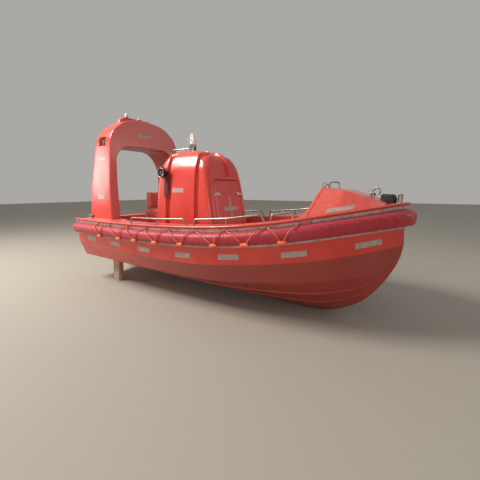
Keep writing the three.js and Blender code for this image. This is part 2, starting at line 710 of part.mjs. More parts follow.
// Foredeck locker: a faceted turtle deck
// x, foot inset from the sheer, top half-width, top z
const LOCKER = [
  [1722, 90, 250, 0],
  [1785, 86, 200, 1672],
  [2110, 60, 300, 1640],
  [2330, 52, 250, 1572],
  [2560, 40, 150, 0],
];
function lockerForm(grow) {
  const rows = LOCKER.map(([x, inset, half, z], k) => {
    const s = sheerAt(x);
    const foot = Math.max(30, s.y - inset);
    const deck = s.z;
    const top = z || deck + 40;
    const end = k === 0 ? -grow : k === LOCKER.length - 1 ? grow : 0;
    const w = Math.min(half, foot - 10);
    const side = [[foot + grow, deck - 60], [foot + grow, deck + 20], [w + grow, top + grow]];
    const port = [...side].reverse();
    return [...side.map(([y, h]) => [x + end, -y, h]), ...port.map(([y, h]) => [x + end, y, h])];
  });
  return loft(rows);
}

const DOOR_TOP = [1768, 1610];    // x, z on the aft face
const DOOR_FOOT = [1736, 1395];
const DOOR_HINGE = [1758, 1614];
const DOOR_HINGE_Y = [-150, 150];

function addForedeck() {
  const form = lockerForm(0);
  const inside = lockerForm(-30).intersect(box(1715, 2480, -700, 700, 1200, 1640));
  const hole = box(1690, 1830, -DOOR_HALF, DOOR_HALF, DOOR_FOOT[1], DOOR_TOP[1]);
  const [hx, hz] = DOOR_HINGE;
  const lugs = DOOR_HINGE_Y.flatMap((y) => [
    bar([hx, y - 40, hz], [hx, y + 40, hz], 4),
    box(hx - 7, hx + 50, y - 40, y - 30, hz - 7, hz + 16),
    box(hx - 7, hx + 50, y + 30, y + 40, hz - 7, hz + 16),
  ]);
  const shell = form.subtract(inside).subtract(hole).subtract(DECK_CLEAR);
  add('foredeck_locker', join(shell, lugs.map((l) => l.subtract(inside))), 'grp');
  const panel = box(1690, 1830, -DOOR_HALF + RUN, DOOR_HALF - RUN, DOOR_FOOT[1] + RUN, DOOR_TOP[1] - RUN)
    .intersect(form).subtract(lockerForm(-22));
  const barrels = DOOR_HINGE_Y.flatMap((y) => [
    bar([hx, y - 29, hz], [hx, y + 29, hz], 9),
    box(hx - 5, hx + 16, y - 29, y + 29, hz - 60, hz - 2).subtract(form),
    box(hx, hx + 24, y - 20, y + 20, hz - 40, hz - 20),
  ]);
  const pins = DOOR_HINGE_Y.map((y) => bar([hx, y - 50, hz], [hx, y + 50, hz], 4 + GAP));
  add('foredeck_door', pins.reduce((a, b) => a.subtract(b), join(panel, barrels)), 'grp');
}

// x aft, x forward
const GUNWALE_RAILS = [[-936, 241], [367, 1399], [1464, 1710]];
const RAIL_HIGH = 88;

function addRails() {
  [['starboard', -1], ['port', 1]].forEach(([name, k]) => {
    GUNWALE_RAILS.forEach(([a, b], n) => {
      const sa = sheerAt(a);
      const sb = sheerAt(b);
      const middle = sheerAt((a + b) / 2);
      const inset = 42;
      const y = (s) => k * (s.y - inset);
      const lean = Math.min(60, (b - a) / 6);
      const top = [
        [a, y(sa), sa.z - 40],
        [a + 8, y(sa), sa.z + DECK_T + RAIL_HIGH],
        ...(b - a > 400 ? [[(a + b) / 2, y(middle), middle.z + DECK_T + RAIL_HIGH]] : []),
        [b - lean, y(sb), sb.z + DECK_T + RAIL_HIGH],
        [b, y(sb), sb.z - 40],
      ];
      let rail = pipe(top, 12.5, 30);
      if (b - a > 400) {
        const foot = [(a + b) / 2, y(middle)];
        const post = bar([...foot, middle.z - 30], [...foot, middle.z + DECK_T + RAIL_HIGH], 11, 11, 8);
        rail = rail.add(post);
      }
      add('gunwale_rail_' + name + '_' + (n + 1), rail.subtract(DECK_CLEAR), 'steel');
    });
  });
}

const BOLLARD_X = 2688;

function addForedeckFittings() {
  const clear = lockerForm(GAP);
  add('foredeck_rail', pipe([[1815, 60, 1600], [1815, 60, 1748], [1945, 60, 1742], [1945, 60, 1580]], 10, 25)
    .subtract(clear), 'steel');
  add('foredeck_cleat', join(
    box(1802, 1842, -60, 0, 1640, 1700),
    bar([1787, -30, 1705], [1857, -30, 1705], 9),
  ).subtract(clear), 'steel');
  add('painter_release', join(
    box(2345, 2400, -40, 40, 1480, 1612),
    bar([2372, -60, 1600], [2372, 60, 1600], 12),
    ring([2425, 0, 1622], [0.3, 0.95, 0], 46, 8),
    bar([2380, 0, 1600], [2392, 0, 1612], 12),
  ).subtract(clear).subtract(DECK_CLEAR), 'steel');
  const bag = [[2455, 1450], [2622, 1460], [2634, 1532], [2588, 1592], [2486, 1584]];
  add('drogue_bag', plate(bag, 'y', -70, 110).subtract(clear).subtract(DECK_CLEAR), 'black');
  const x = BOLLARD_X;
  add('bow_bollard', join(
    bar([x, 0, 1450], [x, 0, 1590], 26),
    box(x - 34, x + 26, -28, 28, 1470, 1502),
  ).subtract(DECK_CLEAR), 'steel');
}

// The grab line hangs in bights over the fender, with a float in each
// x of each hanging point, of the float between each two, and of the line's forward end
const GRAB_TOPS = [-1762, -1434, -942, -525, -37, 449, 917, 1440, 1788];
const GRAB_FLOATS = [-1526, -1026, -656, -210, 277, 806, 1207, 1605];
const GRAB_END = 1905;
function addGrabLines() {
  const tops = GRAB_TOPS.map((x) => ringAt(x));
  const stops = [];
  const floats = [];
  const over = [[66, 15], [44, 18], [20, 17], [-5, 16], [-32, 16]];    // degrees round the fender, stand-off
  tops.slice(0, -1).forEach((from, k) => {
    const to = tops[k + 1];
    const middle = ringAt(GRAB_FLOATS[k]);
    stops.push(edgePoint(from, STRIP_T + 8, -40));
    over.forEach(([deg, off], n) => {
      stops.push(fenderPoint(from + (middle - from) * (n + 1) / over.length, deg, off));
    });
    floats.push(fenderPoint(middle, -32, 30));
    [...over].reverse().slice(1).forEach(([deg, off], n) => {
      stops.push(fenderPoint(middle + (to - middle) * (n + 1) / over.length, deg, off));
    });
  });
  tops.push(ringAt(GRAB_END));
  stops.push(...tops.slice(-2).map((n) => edgePoint(n, STRIP_T + 8, -40)));
  const curve = new THREE.CatmullRomCurve3(stops, false, 'centripetal');
  const count = stops.length - 1;
  const rings = Array.from({ length: count + 1 }, (_, i) => {
    return [curve.getPoint(i / count), curve.getTangent(i / count)];
  });
  const rope = sweep(rings, 7, 5);
  const balls = floats.map((p) => ball(p.toArray(), 26, [1.9, 0.9, 1], 8));
  const saddles = tops.map((n) => ball(edgePoint(n, STRIP_T + 3, -40).toArray(), 12, [1, 1, 1], 6));
  const stripClear = edgeSweep(strip(STRIP_T + GAP, [STRIP_TOP[0] + GAP, STRIP_TOP[1] - GAP]));
  const line = join(rope, balls, saddles).subtract(stripClear);
  const clear = edgeSweep((...at) => fenderSection(...at).map(([o, u]) => [o > 0 ? o + 1 : o, u]), true);
  const port = line.subtract(clear);
  add('grab_line_port', port, 'orange');
  add('grab_line_starboard', mirror(port), 'orange');
}

// Ring number, with its fraction, where the sheer passes x
function ringAt(x) {
  for (let i = 1; i < RING_COUNT; i++) {
    const a = at('sheer', i - 1).x;
    const b = at('sheer', i).x;
    if (b >= x) return i - 1 + (x - a) / (b - a);
  }
  return RING_COUNT - 1;
}
function edgePoint(ringNumber, o, u) {
  const i = Math.floor(ringNumber);
  const f = ringNumber - i;
  const place = (k) => {
    const { s, up, out } = sideFrame(k);
    return s.clone().addScaledVector(out, o).addScaledVector(up, u);
  };
  return place(i).lerp(place(Math.min(RING_COUNT - 1, i + 1)), f);
}
function fenderPoint(ringNumber, degrees, off) {
  const a = (degrees * Math.PI) / 180;
  const { middle, high, depth } = fenderSize(bowShare(edgePoint(ringNumber, 0, 0).x));
  const o = depth * Math.pow(Math.cos(a), 0.62) + off * Math.cos(a);
  const u = middle + (high + off) * Math.sign(a) * Math.pow(Math.abs(Math.sin(a)), 0.8);
  return edgePoint(ringNumber, o, u);
}

function addEngine() {
  add('engine', box(ENGINE.x[0], ENGINE.x[1], -ENGINE.half, ENGINE.half, ENGINE.low, ENGINE.high), 'engine');
}

// The jet's outlet, its nozzle's pivot and the bucket's pivot
const JET = { z: 420, r: 150, end: -2594, outlet: 66 };
const NOZZLE = { pivot: -2659, tip: -2794, r: 100, tipR: 84, bore: 92, tipBore: 72 };
const BUCKET = { x: -2729.8, z: 470, hoodR: 116, wall: 12, half: 122 };

function addWaterjet() {
  const { z, r, end, outlet } = JET;
  const { pivot } = NOZZLE;
  const transom = hullForm(GAP, 0);
  const lugs = [z - 129, z + 129].map((h) => box(pivot - 24, TRANSOM_X - 15, -24, 24, h - 11, h + 11));
  const pins = [-1, 1].map((k) => bar([pivot, 0, z + k * 104], [pivot, 0, z + k * 135], 10));
  const duct = join(
    bar([TRANSOM_X + 60, 0, z], [end, 0, z], r, r * 0.82, 24),
    bar([end + 10, 0, z], [pivot, 0, z], outlet + 14, outlet, 20),
    box(TRANSOM_X - 14, TRANSOM_X + 60, -210, 210, z - 190, z + 200),
    lugs,
  ).subtract(bar([end + 40, 0, z], [pivot - 20, 0, z], outlet - 8, outlet - 10, 20)).subtract(transom);
  add('waterjet', join(duct, pins), 'alloy');

  const ears = [-1, 1].map((k) => box(pivot - 22, pivot + 5, -24, 24, z + k * 103 - 9, z + k * 103 + 9));
  const bosses = [-1, 1].map((k) => bar([BUCKET.x, k * 78, BUCKET.z], [BUCKET.x, k * 134, BUCKET.z], 12));
  const nozzle = join(bar([pivot + 5, 0, z], [NOZZLE.tip, 0, z], NOZZLE.r, NOZZLE.tipR, 20), ears, bosses)
    .subtract(bar([pivot + 10, 0, z], [NOZZLE.tip - 5, 0, z], NOZZLE.bore, NOZZLE.tipBore, 20))
    .subtract(bar([pivot, 0, z - 160], [pivot, 0, z + 160], 10 + GAP));
  add('steering_nozzle', nozzle, 'alloy');

  const { x, z: bz, hoodR, wall, half } = BUCKET;
  const centre = [x - 20, bz + 74];
  const [cx, cz] = centre;
  const drum = (y0, y1, radius) => bar([cx, y0, cz], [cx, y1, cz], radius, radius, 24);
  const hood = drum(-half, half, hoodR).subtract(drum(-half + 10, half - 10, hoodR - wall))
    .intersect(box(x - 170, x + 30, -half, half, bz + 66, bz + 220));
  const arms = [5 - half, half - 5].map((y) => box(x - 60, x + 20, y - 5, y + 5, bz - 20, bz + 80));
  add('reverse_bucket', join(hood, arms).subtract(bar([x, -200, bz], [x, 200, bz], 12 + GAP)), 'alloy');
}

function addSternCleats() {
  [['starboard', -1], ['port', 1]].forEach(([name, k]) => {
    const y = k * 880;
    add('stern_cleat_' + name, join(
      bar([-2360, y, 1120], [-2360, y, 1180], 13),
      bar([-2300, y, 1120], [-2300, y, 1180], 13),
      bar([-2410, y, 1180], [-2250, y, 1180], 11),
    ).subtract(DECK_CLEAR), 'steel');
  });
}

// Timber blocks under the chines: x, y and z ranges, starboard
const BLOCK = { x: [-1903, -1745], y: [-735, -635], top: 500 };

function addBlocks() {
  const block = box(...BLOCK.x, ...BLOCK.y, 0, BLOCK.top);
  add('timber_block_starboard', block.subtract(HULL_CLEAR), 'timber');
  add('timber_block_port', mirror(block).subtract(HULL_CLEAR), 'timber');
}

addHull();
addDeckMoulding();
addFender();
addArch();
addConsole();
addConsoleFittings();
addHelm();
addSeat();
addForedeck();
addForedeckFittings();
addRails();
addGrabLines();
addEngine();
addWaterjet();
addSternCleats();
addBlocks();

export default group;
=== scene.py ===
import math

import bmesh
import bpy
import numpy as np
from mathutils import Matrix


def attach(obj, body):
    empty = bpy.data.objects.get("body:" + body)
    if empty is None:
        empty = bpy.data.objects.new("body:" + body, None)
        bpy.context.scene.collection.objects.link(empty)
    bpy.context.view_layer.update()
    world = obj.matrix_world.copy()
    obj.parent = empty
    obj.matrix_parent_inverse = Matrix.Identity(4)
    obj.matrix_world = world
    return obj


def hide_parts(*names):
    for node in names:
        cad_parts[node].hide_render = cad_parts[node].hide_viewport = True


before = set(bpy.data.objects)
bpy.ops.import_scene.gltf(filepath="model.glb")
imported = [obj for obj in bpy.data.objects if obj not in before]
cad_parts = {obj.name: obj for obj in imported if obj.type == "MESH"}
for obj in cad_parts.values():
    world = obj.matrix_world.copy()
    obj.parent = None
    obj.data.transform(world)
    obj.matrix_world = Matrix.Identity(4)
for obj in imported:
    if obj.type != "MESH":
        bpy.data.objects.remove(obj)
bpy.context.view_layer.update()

# ---- camera
# A phone held at eye height off the starboard bow, turned aft and a little down.
eye = bpy.data.objects.new("camera", bpy.data.cameras.new("camera"))
eye.data.sensor_fit = "HORIZONTAL"
eye.data.sensor_width = 36
eye.data.lens = 36 * 315 / 480
eye.data.shift_y = -26.5 / 480
eye.location = (3.185, -4.168, 1.64)
eye.rotation_euler = (math.radians(90 - 4.27), 0, math.radians(33.8))
bpy.context.collection.objects.link(eye)
bpy.context.scene.camera = eye


# ---- hull
# The hull is one glass-fibre moulding: orange gelcoat sprayed into a polished mould, then laid up
# behind it. It has a flat keel strip, two spray rails each side, a chine and a knuckle.
# x, keel z, chine y and z, knuckle y and z, sheer y and z
STATIONS = np.array([
    [-2.485, .180, .905, .450, 1.015, .704, 1.050, 1.116],
    [-1.600, .138, .915, .430, 1.052, .668, 1.090, 1.110],
    [-0.600, .088, .922, .414, 1.062, .636, 1.100, 1.114],
    [0.300, .046, .915, .410, 1.060, .646, 1.100, 1.146],
    [0.900, .020, .872, .444, 1.015, .694, 1.082, 1.186],
    [1.400, .000, .775, .488, .920, .748, 1.015, 1.246],
    [1.700, .000, .665, .508, .808, .784, .920, 1.292],
    [2.000, .066, .485, .532, .640, .824, .760, 1.346],
    [2.300, .234, .285, .572, .420, .880, .545, 1.400],
    [2.520, .484, .132, .640, .232, .924, .350, 1.440],
    [2.650, .700, .048, .768, .104, .958, .190, 1.466],
])
STEM = {"keel": (2.712, .848), "chine": (2.724, .905), "knuckle": (2.738, .982), "sheer": (2.747, 1.480)}
TRANSOM, TRANSOM_TOP = STATIONS[0, 0], STATIONS[0, 7]
KEEL_HALF = .035
TRANSOM_RAKE = .060
HULL_WALL = .008
CHINE_STEP = (.012, .010)
KNUCKLE_STEP = (.010, .012)
SPRAY_RAILS = ((.33, .375, .96), (.64, .685, .90))      # shares of the bottom's width, and where it fades
STEM_FADE = .955                   # steps and hollows run out from here to the stem
MIRROR = np.array([1, -1, 1])


def stem_line(name, y, z):
    """The stations' points at columns y and z, then the stem's."""
    x = STATIONS[:, 0]
    side = STATIONS[:, y] if y else 0 * x
    end = STEM[name]
    return np.vstack([np.column_stack([x, side, STATIONS[:, z]]), [end[0], 0, end[1]]])


KEEL = stem_line("keel", 0, 1)
CHINE = stem_line("chine", 2, 3)
KNUCKLE = stem_line("knuckle", 4, 5)
SHEER = stem_line("sheer", 6, 7)


def curve_at(points, t):
    """Cubic through evenly numbered points, t from 0 to 1: the slope at each point is half the step
    from the point before to the point after, and each end is carried straight on."""
    p = np.asarray(points, float)
    p = np.vstack([2 * p[0] - p[1], p, 2 * p[-1] - p[-2]])
    s = np.clip(t, 0, 1) * (len(p) - 3)
    i = np.minimum(s.astype(int), len(p) - 4)
    w = (s - i)[:, None]
    a, b, c, d = (p[i + k] for k in range(4))
    m, n = (c - a) / 2, (d - b) / 2
    return b + m * w + (3 * (c - b) - 2 * m - n) * w**2 + (2 * (b - c) + m + n) * w**3


def mix(a, b, share):
    """a at share 0, b at share 1."""
    return a * (1 - share) + b * share


def unit(v):
    """Each row divided by its length."""
    return v / np.maximum(np.linalg.norm(v, axis=-1, keepdims=True), 1e-9)


def ease(x, a, b):
    """0 before a, 1 after b, and 3w^2 - 2w^3 between."""
    w = np.clip((x - a) / (b - a), 0, 1)
    return w * w * (3 - 2 * w)


def rounded(section, radii, steps=3, closed=False):
    """Rounds the corners of many sections at once. A corner becomes the quadratic arc from radius
    before it to radius after it, or stays one point where its radius is 0."""
    p = np.asarray(section, float)
    count = p.shape[1]
    out = []
    s = np.linspace(0, 1, steps + 1)[None, :, None]
    for j in range(count):
        corner = p[:, j:j + 1]
        if radii[j] == 0 or (not closed and j in (0, count - 1)):
            out.append(corner)
            continue
        before, after = p[:, j - 1][:, None] - corner, p[:, (j + 1) % count][:, None] - corner
        lb = np.linalg.norm(before, axis=-1, keepdims=True)
        la = np.linalg.norm(after, axis=-1, keepdims=True)
        r = np.minimum(radii[j], .45 * np.minimum(lb, la))
        u, v = corner + before / np.maximum(lb, 1e-9) * r, corner + after / np.maximum(la, 1e-9) * r
        out.append((1 - s)**2 * u + 2 * s * (1 - s) * corner + s**2 * v)
    return np.concatenate(out, axis=1)


def grid(points, wrap=False, ring=False, ends=False):
    """Rows by columns of points as (points, quads). wrap joins the last row to the first, ring the
    last column to the first, and ends closes the first and last rows with a face each."""
    rows, cols = points.shape[:2]
    a, b = np.meshgrid(np.arange(rows if wrap else rows - 1), np.arange(cols if ring else cols - 1),
        indexing="ij")
    c, d = (a + 1) % rows, (b + 1) % cols
    quads = np.stack([a * cols + b, c * cols + b, c * cols + d, a * cols + d], -1).reshape(-1, 4).tolist()
    if ends:
        quads += [list(range(cols)), list(range((rows - 1) * cols, rows * cols))[::-1]]
    return points.reshape(-1, 3), quads


def place_mesh(name, parts):
    """A new object in the scene, its mesh made of (points, faces) pairs."""
    points, faces = [], []
    for p, f in parts:
        start = sum(map(len, points))
        points.append(np.asarray(p, float))
        faces += [[i + start for i in face] for face in f]
    mesh = bpy.data.meshes.new(name)
    mesh.from_pydata(np.vstack(points).tolist(), [], faces)
    piece = bpy.data.objects.new(name, mesh)
    bpy.context.collection.objects.link(piece)
    return piece


def turn_outwards(mesh, merge=True):
    """Turns all faces outwards, once points that meet are merged."""
    work = bmesh.new()
    work.from_mesh(mesh)
    if merge:
        bmesh.ops.remove_doubles(work, verts=work.verts, dist=2e-5)
        bmesh.ops.dissolve_degenerate(work, edges=work.edges, dist=1e-5)
    bmesh.ops.recalc_face_normals(work, faces=work.faces)
    work.to_mesh(mesh)
    work.free()


def add_wall(piece, thickness):
    """Makes an open surface a laminate of this thickness, laid up behind it."""
    wall = piece.modifiers.new("wall", "SOLIDIFY")
    wall.thickness, wall.offset = thickness, -1


def enter(piece, body, finish, stands_for):
    """Gives a piece its finish, the body it rides on and the CAD nodes it stands for."""
    piece.data.materials.append(finish)
    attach(piece, body)
    if stands_for:
        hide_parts(*stands_for)


def build(name, parts, finish, body="boat", crease=35, shell=0, stands_for=()):
    """One piece from (points, faces) pairs, smooth but for edges sharper than crease degrees."""
    piece = place_mesh(name, parts)
    turn_outwards(piece.data)
    piece.data.shade_smooth()
    piece.data.set_sharp_from_angle(angle=math.radians(crease))
    if shell:
        add_wall(piece, shell)
    enter(piece, body, finish, stands_for)
    return piece


def rgb(code):
    """'#rrggbb' in sRGB to linear: c/12.92 below .04045, else ((c + .055) / 1.055)^2.4."""
    c = np.array([int(code[k:k + 2], 16) / 255 for k in (1, 3, 5)])
    return (*np.where(c < .04045, c / 12.92, ((c + .055) / 1.055)**2.4).tolist(), 1)


def fill(tree, node, inputs):
    """Sets each named or numbered input, or links it where the value is a socket."""
    for key, value in inputs.items():
        if isinstance(value, bpy.types.NodeSocket):
            tree.links.new(value, node.inputs[key])
        else:
            node.inputs[key].default_value = value


def add_node(tree, kind, inputs=(), **settings):
    """Adds a node, sets its properties and fills its inputs."""
    n = tree.nodes.new(kind)
    for key, value in settings.items():
        setattr(n, key, value)
    fill(tree, n, dict(inputs))
    return n


def surface(tree, **inputs):
    """Fills inputs of the surface shader, a _ standing for each space in a name."""
    fill(tree, tree.nodes["Principled BSDF"], {key.replace("_", " "): value for key, value in inputs.items()})


def start_finish(name, slot, **inputs):
    """A new material for a slot, and its node tree. Fixed values go on the shader's own sockets."""
    m = bpy.data.materials.new(name)
    m.use_nodes = True
    m["slot"] = slot
    surface(m.node_tree, **inputs)
    return m, m.node_tree


def here(tree):
    """The place of the shaded point in its object."""
    return add_node(tree, "ShaderNodeTexCoord").outputs["Object"]


def sums(tree, operation, *values):
    """One step of arithmetic on sockets and numbers."""
    return add_node(tree, "ShaderNodeMath", dict(enumerate(values)), operation=operation).outputs[0]


def remap(tree, value, low, high, to_low=0, to_high=1):
    """low to high, stretched to to_low to to_high and held at its ends."""
    return add_node(tree, "ShaderNodeMapRange",
        {"Value": value, "From Min": low, "From Max": high, "To Min": to_low,
        "To Max": to_high}).outputs["Result"]


def facing_up(tree):
    """1 where the surface lies level, 0 where it stands upright."""
    normal = add_node(tree, "ShaderNodeNewGeometry").outputs["Normal"]
    return add_node(tree, "ShaderNodeSeparateXYZ", {0: normal}).outputs["Z"]


def blotch(tree, millimetres, low, high, detail=3):
    """Noise from low to high, its lumps about so many millimetres across."""
    noise = add_node(tree, "ShaderNodeTexNoise",
        {"Vector": here(tree), "Scale": 1000 / millimetres, "Detail": detail})
    return remap(tree, noise.outputs["Fac"], .3, .7, low, high)


def tint(tree, share, first, second):
    """Colour between two hex codes or sockets by a share."""
    ends = {6: first, 7: second}
    values = {k: rgb(v) if isinstance(v, str) else v for k, v in ends.items()}
    return add_node(tree, "ShaderNodeMix", {0: share, **values}, data_type="RGBA").outputs[2]


def relief(tree, height, millimetres):
    """Bump of the given depth from a height socket of 0 to 1."""
    bump = add_node(tree, "ShaderNodeBump",
        {"Height": height, "Strength": 1.0, "Distance": millimetres / 1000})
    surface(tree, Normal=bump.outputs["Normal"])


def gelcoat(name, slot, base, faded, dusty, roughness):
    """Sprayed gelcoat: a mould's high gloss gone semi-matt with age. Broad faded patches about 400 mm
    across, dust with a painted top light on faces that look up, a painted shade and a painted reflection
    where the two attributes say, and the laminate's print-through, a ripple of about 45 mm."""
    m, tree = start_finish(name, slot, Coat_Weight=.2, Coat_Roughness=.12)
    paint = tint(tree, blotch(tree, 400, 0, 1), base, faded)
    # Two attributes tint the paint: a painted shade towards #6A3A33, and a painted reflection towards
    # #DCA09A.
    for attribute, colour in (("painted_shade", "#6A3A33"), ("painted_reflection", "#DCA09A")):
        share = add_node(tree, "ShaderNodeAttribute", attribute_name=attribute).outputs["Fac"]
        paint = tint(tree, share, paint, colour)
    # Dust on faces that look up, with a painted top light: they are paled where light falls from above.
    dust_and_top_light = sums(tree, "MULTIPLY", remap(tree, facing_up(tree), .25, 1, 0, .26), blotch(tree, 60, .35, 1))
    surface(tree, Base_Color=tint(tree, dust_and_top_light, paint, dusty),
            Roughness=blotch(tree, 350, roughness - .03, roughness + .05, detail=1))
    ripple = add_node(tree, "ShaderNodeTexNoise", {"Vector": here(tree), "Scale": 22.0, "Detail": 1.0})
    relief(tree, ripple.outputs["Fac"], .5)
    return m


def paint_light_share(piece, attribute, share):
    """Writes a piece's share of painted shade or painted reflection, one value a point."""
    piece.data.attributes.new(attribute, "FLOAT", "POINT").data.foreach_set("value", share)


# Its third colour is the pale tint of dust and painted top light on faces that look up.
ORANGE = gelcoat("orange_gelcoat", "grp_orange", "#CE3A30", "#D6473B", "#E8A396", .25)

stations = np.sort(np.concatenate([np.linspace(0, 1, 177), np.linspace(.9, 1, 40)]))
keel, chine, knuckle, sheer = (curve_at(line, stations) for line in (KEEL, CHINE, KNUCKLE, SHEER))
keel[:, 2] = np.maximum(keel[:, 2], 0)
keel[:, 1] = np.minimum(KEEL_HALF, chine[:, 1] * .5)
fade = 1 - ease(stations, STEM_FADE, 1)


def on_bottom(share, bulge_at):
    """A line along the bottom, a share of the way from keel to chine, let down 10 mm sin(pi bulge_at)."""
    return mix(keel, chine, share) - np.outer(fade, [0, 0, .010 * math.sin(math.pi * bulge_at)])


columns = [(share, on_bottom(share, share), 0) for share in np.linspace(0, 1, 13)[:-1]
    if not any(a - .02 < share < b + .02 for a, b, _ in SPRAY_RAILS)]
for start, stop, last in SPRAY_RAILS:
    inner, outer = on_bottom(start, start), on_bottom(stop, start)
    edge = np.column_stack([outer[:, :2], inner[:, 2]])
    edge = mix(edge, (inner + outer) / 2, ease(stations, last - .10, last)[:, None])
    columns += [(start, inner, .004), (start + .001, edge, .005), (stop, outer, .004)]
columns.sort(key=lambda column: column[0])
stepped = chine + np.outer(fade, [0, *CHINE_STEP])
ledge = knuckle + np.outer(fade, [0, *KNUCKLE_STEP])
topside = [chine, stepped]
for share in (.25, .5, .75):
    topside.append(mix(stepped, knuckle, share) - np.outer(fade, [0, .006 * math.sin(math.pi * share), 0]))
topside += [knuckle, ledge, mix(ledge, sheer, .33), mix(ledge, sheer, .67), sheer]
section = np.stack([line for _, line, _ in columns] + topside, 1)
section = rounded(section, [r for _, _, r in columns] + [.006, .005, 0, 0, 0, .006, .005, 0, 0, 0])
section[0, :, 0] += TRANSOM_RAKE * (1 - np.minimum(1, section[0, :, 2] / .7))
whole = np.concatenate([(section * MIRROR)[:, ::-1], section], 1)
half = section.shape[1]
transom = np.stack([whole[0, :half], whole[0, half:][::-1]])
hull = build("hull_moulding", [grid(whole), grid(transom)], ORANGE, crease=50, shell=HULL_WALL,
    stands_for=["hull"])
# Painted shade: below the knuckle, from amidships forward, the downward-facing gelcoat is darkened to a
# browner red
spots = np.array([v.co for v in hull.data.vertices])
above_knuckle = spots[:, 2] - np.interp(spots[:, 0], knuckle[:, 0], knuckle[:, 2])
below_chine = np.interp(spots[:, 0], chine[:, 0], chine[:, 2]) - spots[:, 2]
share = .62 * (1 - ease(above_knuckle, .001, .009)) * (1 - .12 * ease(below_chine, -.002, .006))
paint_light_share(hull, "painted_shade", share * (.2 + .8 * ease(spots[:, 0], -1.5, .2)))


# ---- deck moulding
# Deck, rolled gunwale, cockpit well and sole are a second moulding, bonded down on the hull's edge.
# Its gelcoat is a shade paler, and where it is trodden on it has moulded non-slip studs.
DECK_T = .0143
SOLE = .634
WELL = {"aft": -2.235, "narrow": -1.64, "wide": -1.34, "straight_to": .85, "fwd": 1.70,
        "half": .79, "half_aft": .65, "half_fwd": .52, "corner": .12}
BAY = (-.82, 0, .32)
LAST_RING = 1 - 1 / (2 * len(STATIONS))


def edge_frame(t):
    """At each share t of the way from transom to stem: the sheer's point, the level outward direction,
    square to the sheer, turning to dead ahead at the stem, and the way up the side."""
    s = curve_at(SHEER, t)
    up = unit(s - curve_at(KNUCKLE, t))
    along = curve_at(SHEER, np.minimum(t + 1e-4, 1)) - curve_at(SHEER, np.maximum(t - 1e-4, 0))
    out = unit(np.column_stack([-along[:, 1], along[:, 0], 0 * t]))
    turn = ease(t, LAST_RING, 1)[:, None]
    return s, up, unit(mix(out, np.array([1, 0, 0]), turn))


def edge_sweep(profile, t):
    """Carries a profile, rows of (out, up) for each t, round the gunwale: from the starboard quarter
    to the stem and back to the port quarter. Point = sheer + out * outward + up * upward."""
    s, up, out = edge_frame(t)
    p = s[:, None] + profile[..., :1] * out[:, None] + profile[..., 1:] * up[:, None]
    return np.concatenate([p * MIRROR, p[::-1][1:]])


def distances(points):
    """How far along a line of points each one is."""
    return np.concatenate([[0], np.cumsum(np.linalg.norm(np.diff(points, axis=0), axis=1))])


def spread(points, count):
    """count points at even distance along a line of points."""
    p = np.asarray(points, float)
    run = distances(p)
    return np.column_stack([np.interp(np.linspace(0, run[-1], count), run, column) for column in p.T])


def bezier(*p):
    """Seventeen points of the curve with these two to four control points."""
    s = np.linspace(0, 1, 17)[:, None]
    p = [np.array(q, float) for q in p]
    n = len(p) - 1
    return sum(math.comb(n, k) * s**k * (1 - s)**(n - k) * p[k] for k in range(n + 1))


def by_parts(parts, counts):
    """Each part spread over its own count of points, joined without the doubled ends."""
    done = [spread(p, n) for p, n in zip(parts, counts)]
    return np.vstack([done[0]] + [p[1:] for p in done[1:]])


fine = curve_at(SHEER, np.linspace(0, 1, 801))


def at_sheer(x):
    """Half-breadth and height of the sheer at x."""
    return [np.interp(x, fine[:, 0], fine[:, k]) for k in (1, 2)]


w = WELL
f, h = w["fwd"], w["half"]
aft_corner = bezier((w["aft"], w["half_aft"] - w["corner"]), (w["aft"], w["half_aft"]),
    (w["aft"] + w["corner"], w["half_aft"]))
fwd_corner = bezier((f - .06, w["half_fwd"]), (f, w["half_fwd"] - .06), (f, w["half_fwd"] - .16))
widening = bezier((w["narrow"], w["half_aft"]), (w["narrow"] + .15, w["half_aft"]), (w["wide"] - .15, h),
    (w["wide"], h))
well_parts = [
    np.vstack([bezier((w["aft"], 0), aft_corner[0]), aft_corner[:9]]),
    np.vstack([aft_corner[8:], widening, [[w["straight_to"], h]]]),
    np.vstack([bezier((w["straight_to"], h), (f - .25, h - .06), fwd_corner[0]), fwd_corner[:9]]),
    np.vstack([fwd_corner[8:], [[f, 0]]]),
]
sheer_parts = [np.array([[TRANSOM, 0], [TRANSOM, fine[0, 1]]])]
for a, b in ((-9, w["straight_to"]), (w["straight_to"], f), (f, 9)):
    sheer_parts.append(fine[(fine[:, 0] >= a) & (fine[:, 0] <= b)][:, :2])
bay_corners = [(BAY[0], 0), (BAY[0], BAY[2]), (-.3, BAY[2]), (BAY[1], BAY[2]), (BAY[1], 0)]
bay_parts = [np.array(pair) for pair in zip(bay_corners, bay_corners[1:])]
COUNTS = (14, 120, 34, 40)
lip, gunwale, bay = (by_parts(p, COUNTS) for p in (well_parts, sheer_parts, bay_parts))
inward = unit(np.column_stack([-np.gradient(lip[:, 1]), np.gradient(lip[:, 0])]))
inward *= -np.sign(np.sum(inward * (lip - [-.3, 0]), axis=1))[:, None]
inward[[0, -1]] = [[1, 0], [-1, 0]]


def deck_z(xy):
    """Top of the deck, which is level across at the sheer's height at x."""
    return at_sheer(xy[:, 0])[1] + DECK_T


def at_height(xy, z):
    """Plan points given a height, one number or one each."""
    return np.column_stack([xy, np.broadcast_to(z, len(xy))])


rows = [at_height(xy, deck_z(xy)) for xy in (mix(gunwale, lip, share) for share in (0, .25, .5, .75, .93, 1))]
rows += [at_height(lip, SOLE + .3), at_height(lip, SOLE)]
rows += [at_height(mix(lip, bay, share), SOLE) for share in (.12, .5, 1)] + [at_height(bay, SOLE - .05)]
deck_section = rounded(np.stack(rows, 1), [0, 0, 0, 0, 0, .018, 0, .035, 0, 0, .008, 0], steps=4)
deck_loop = np.concatenate([deck_section * MIRROR, deck_section[::-1][1:-1]])

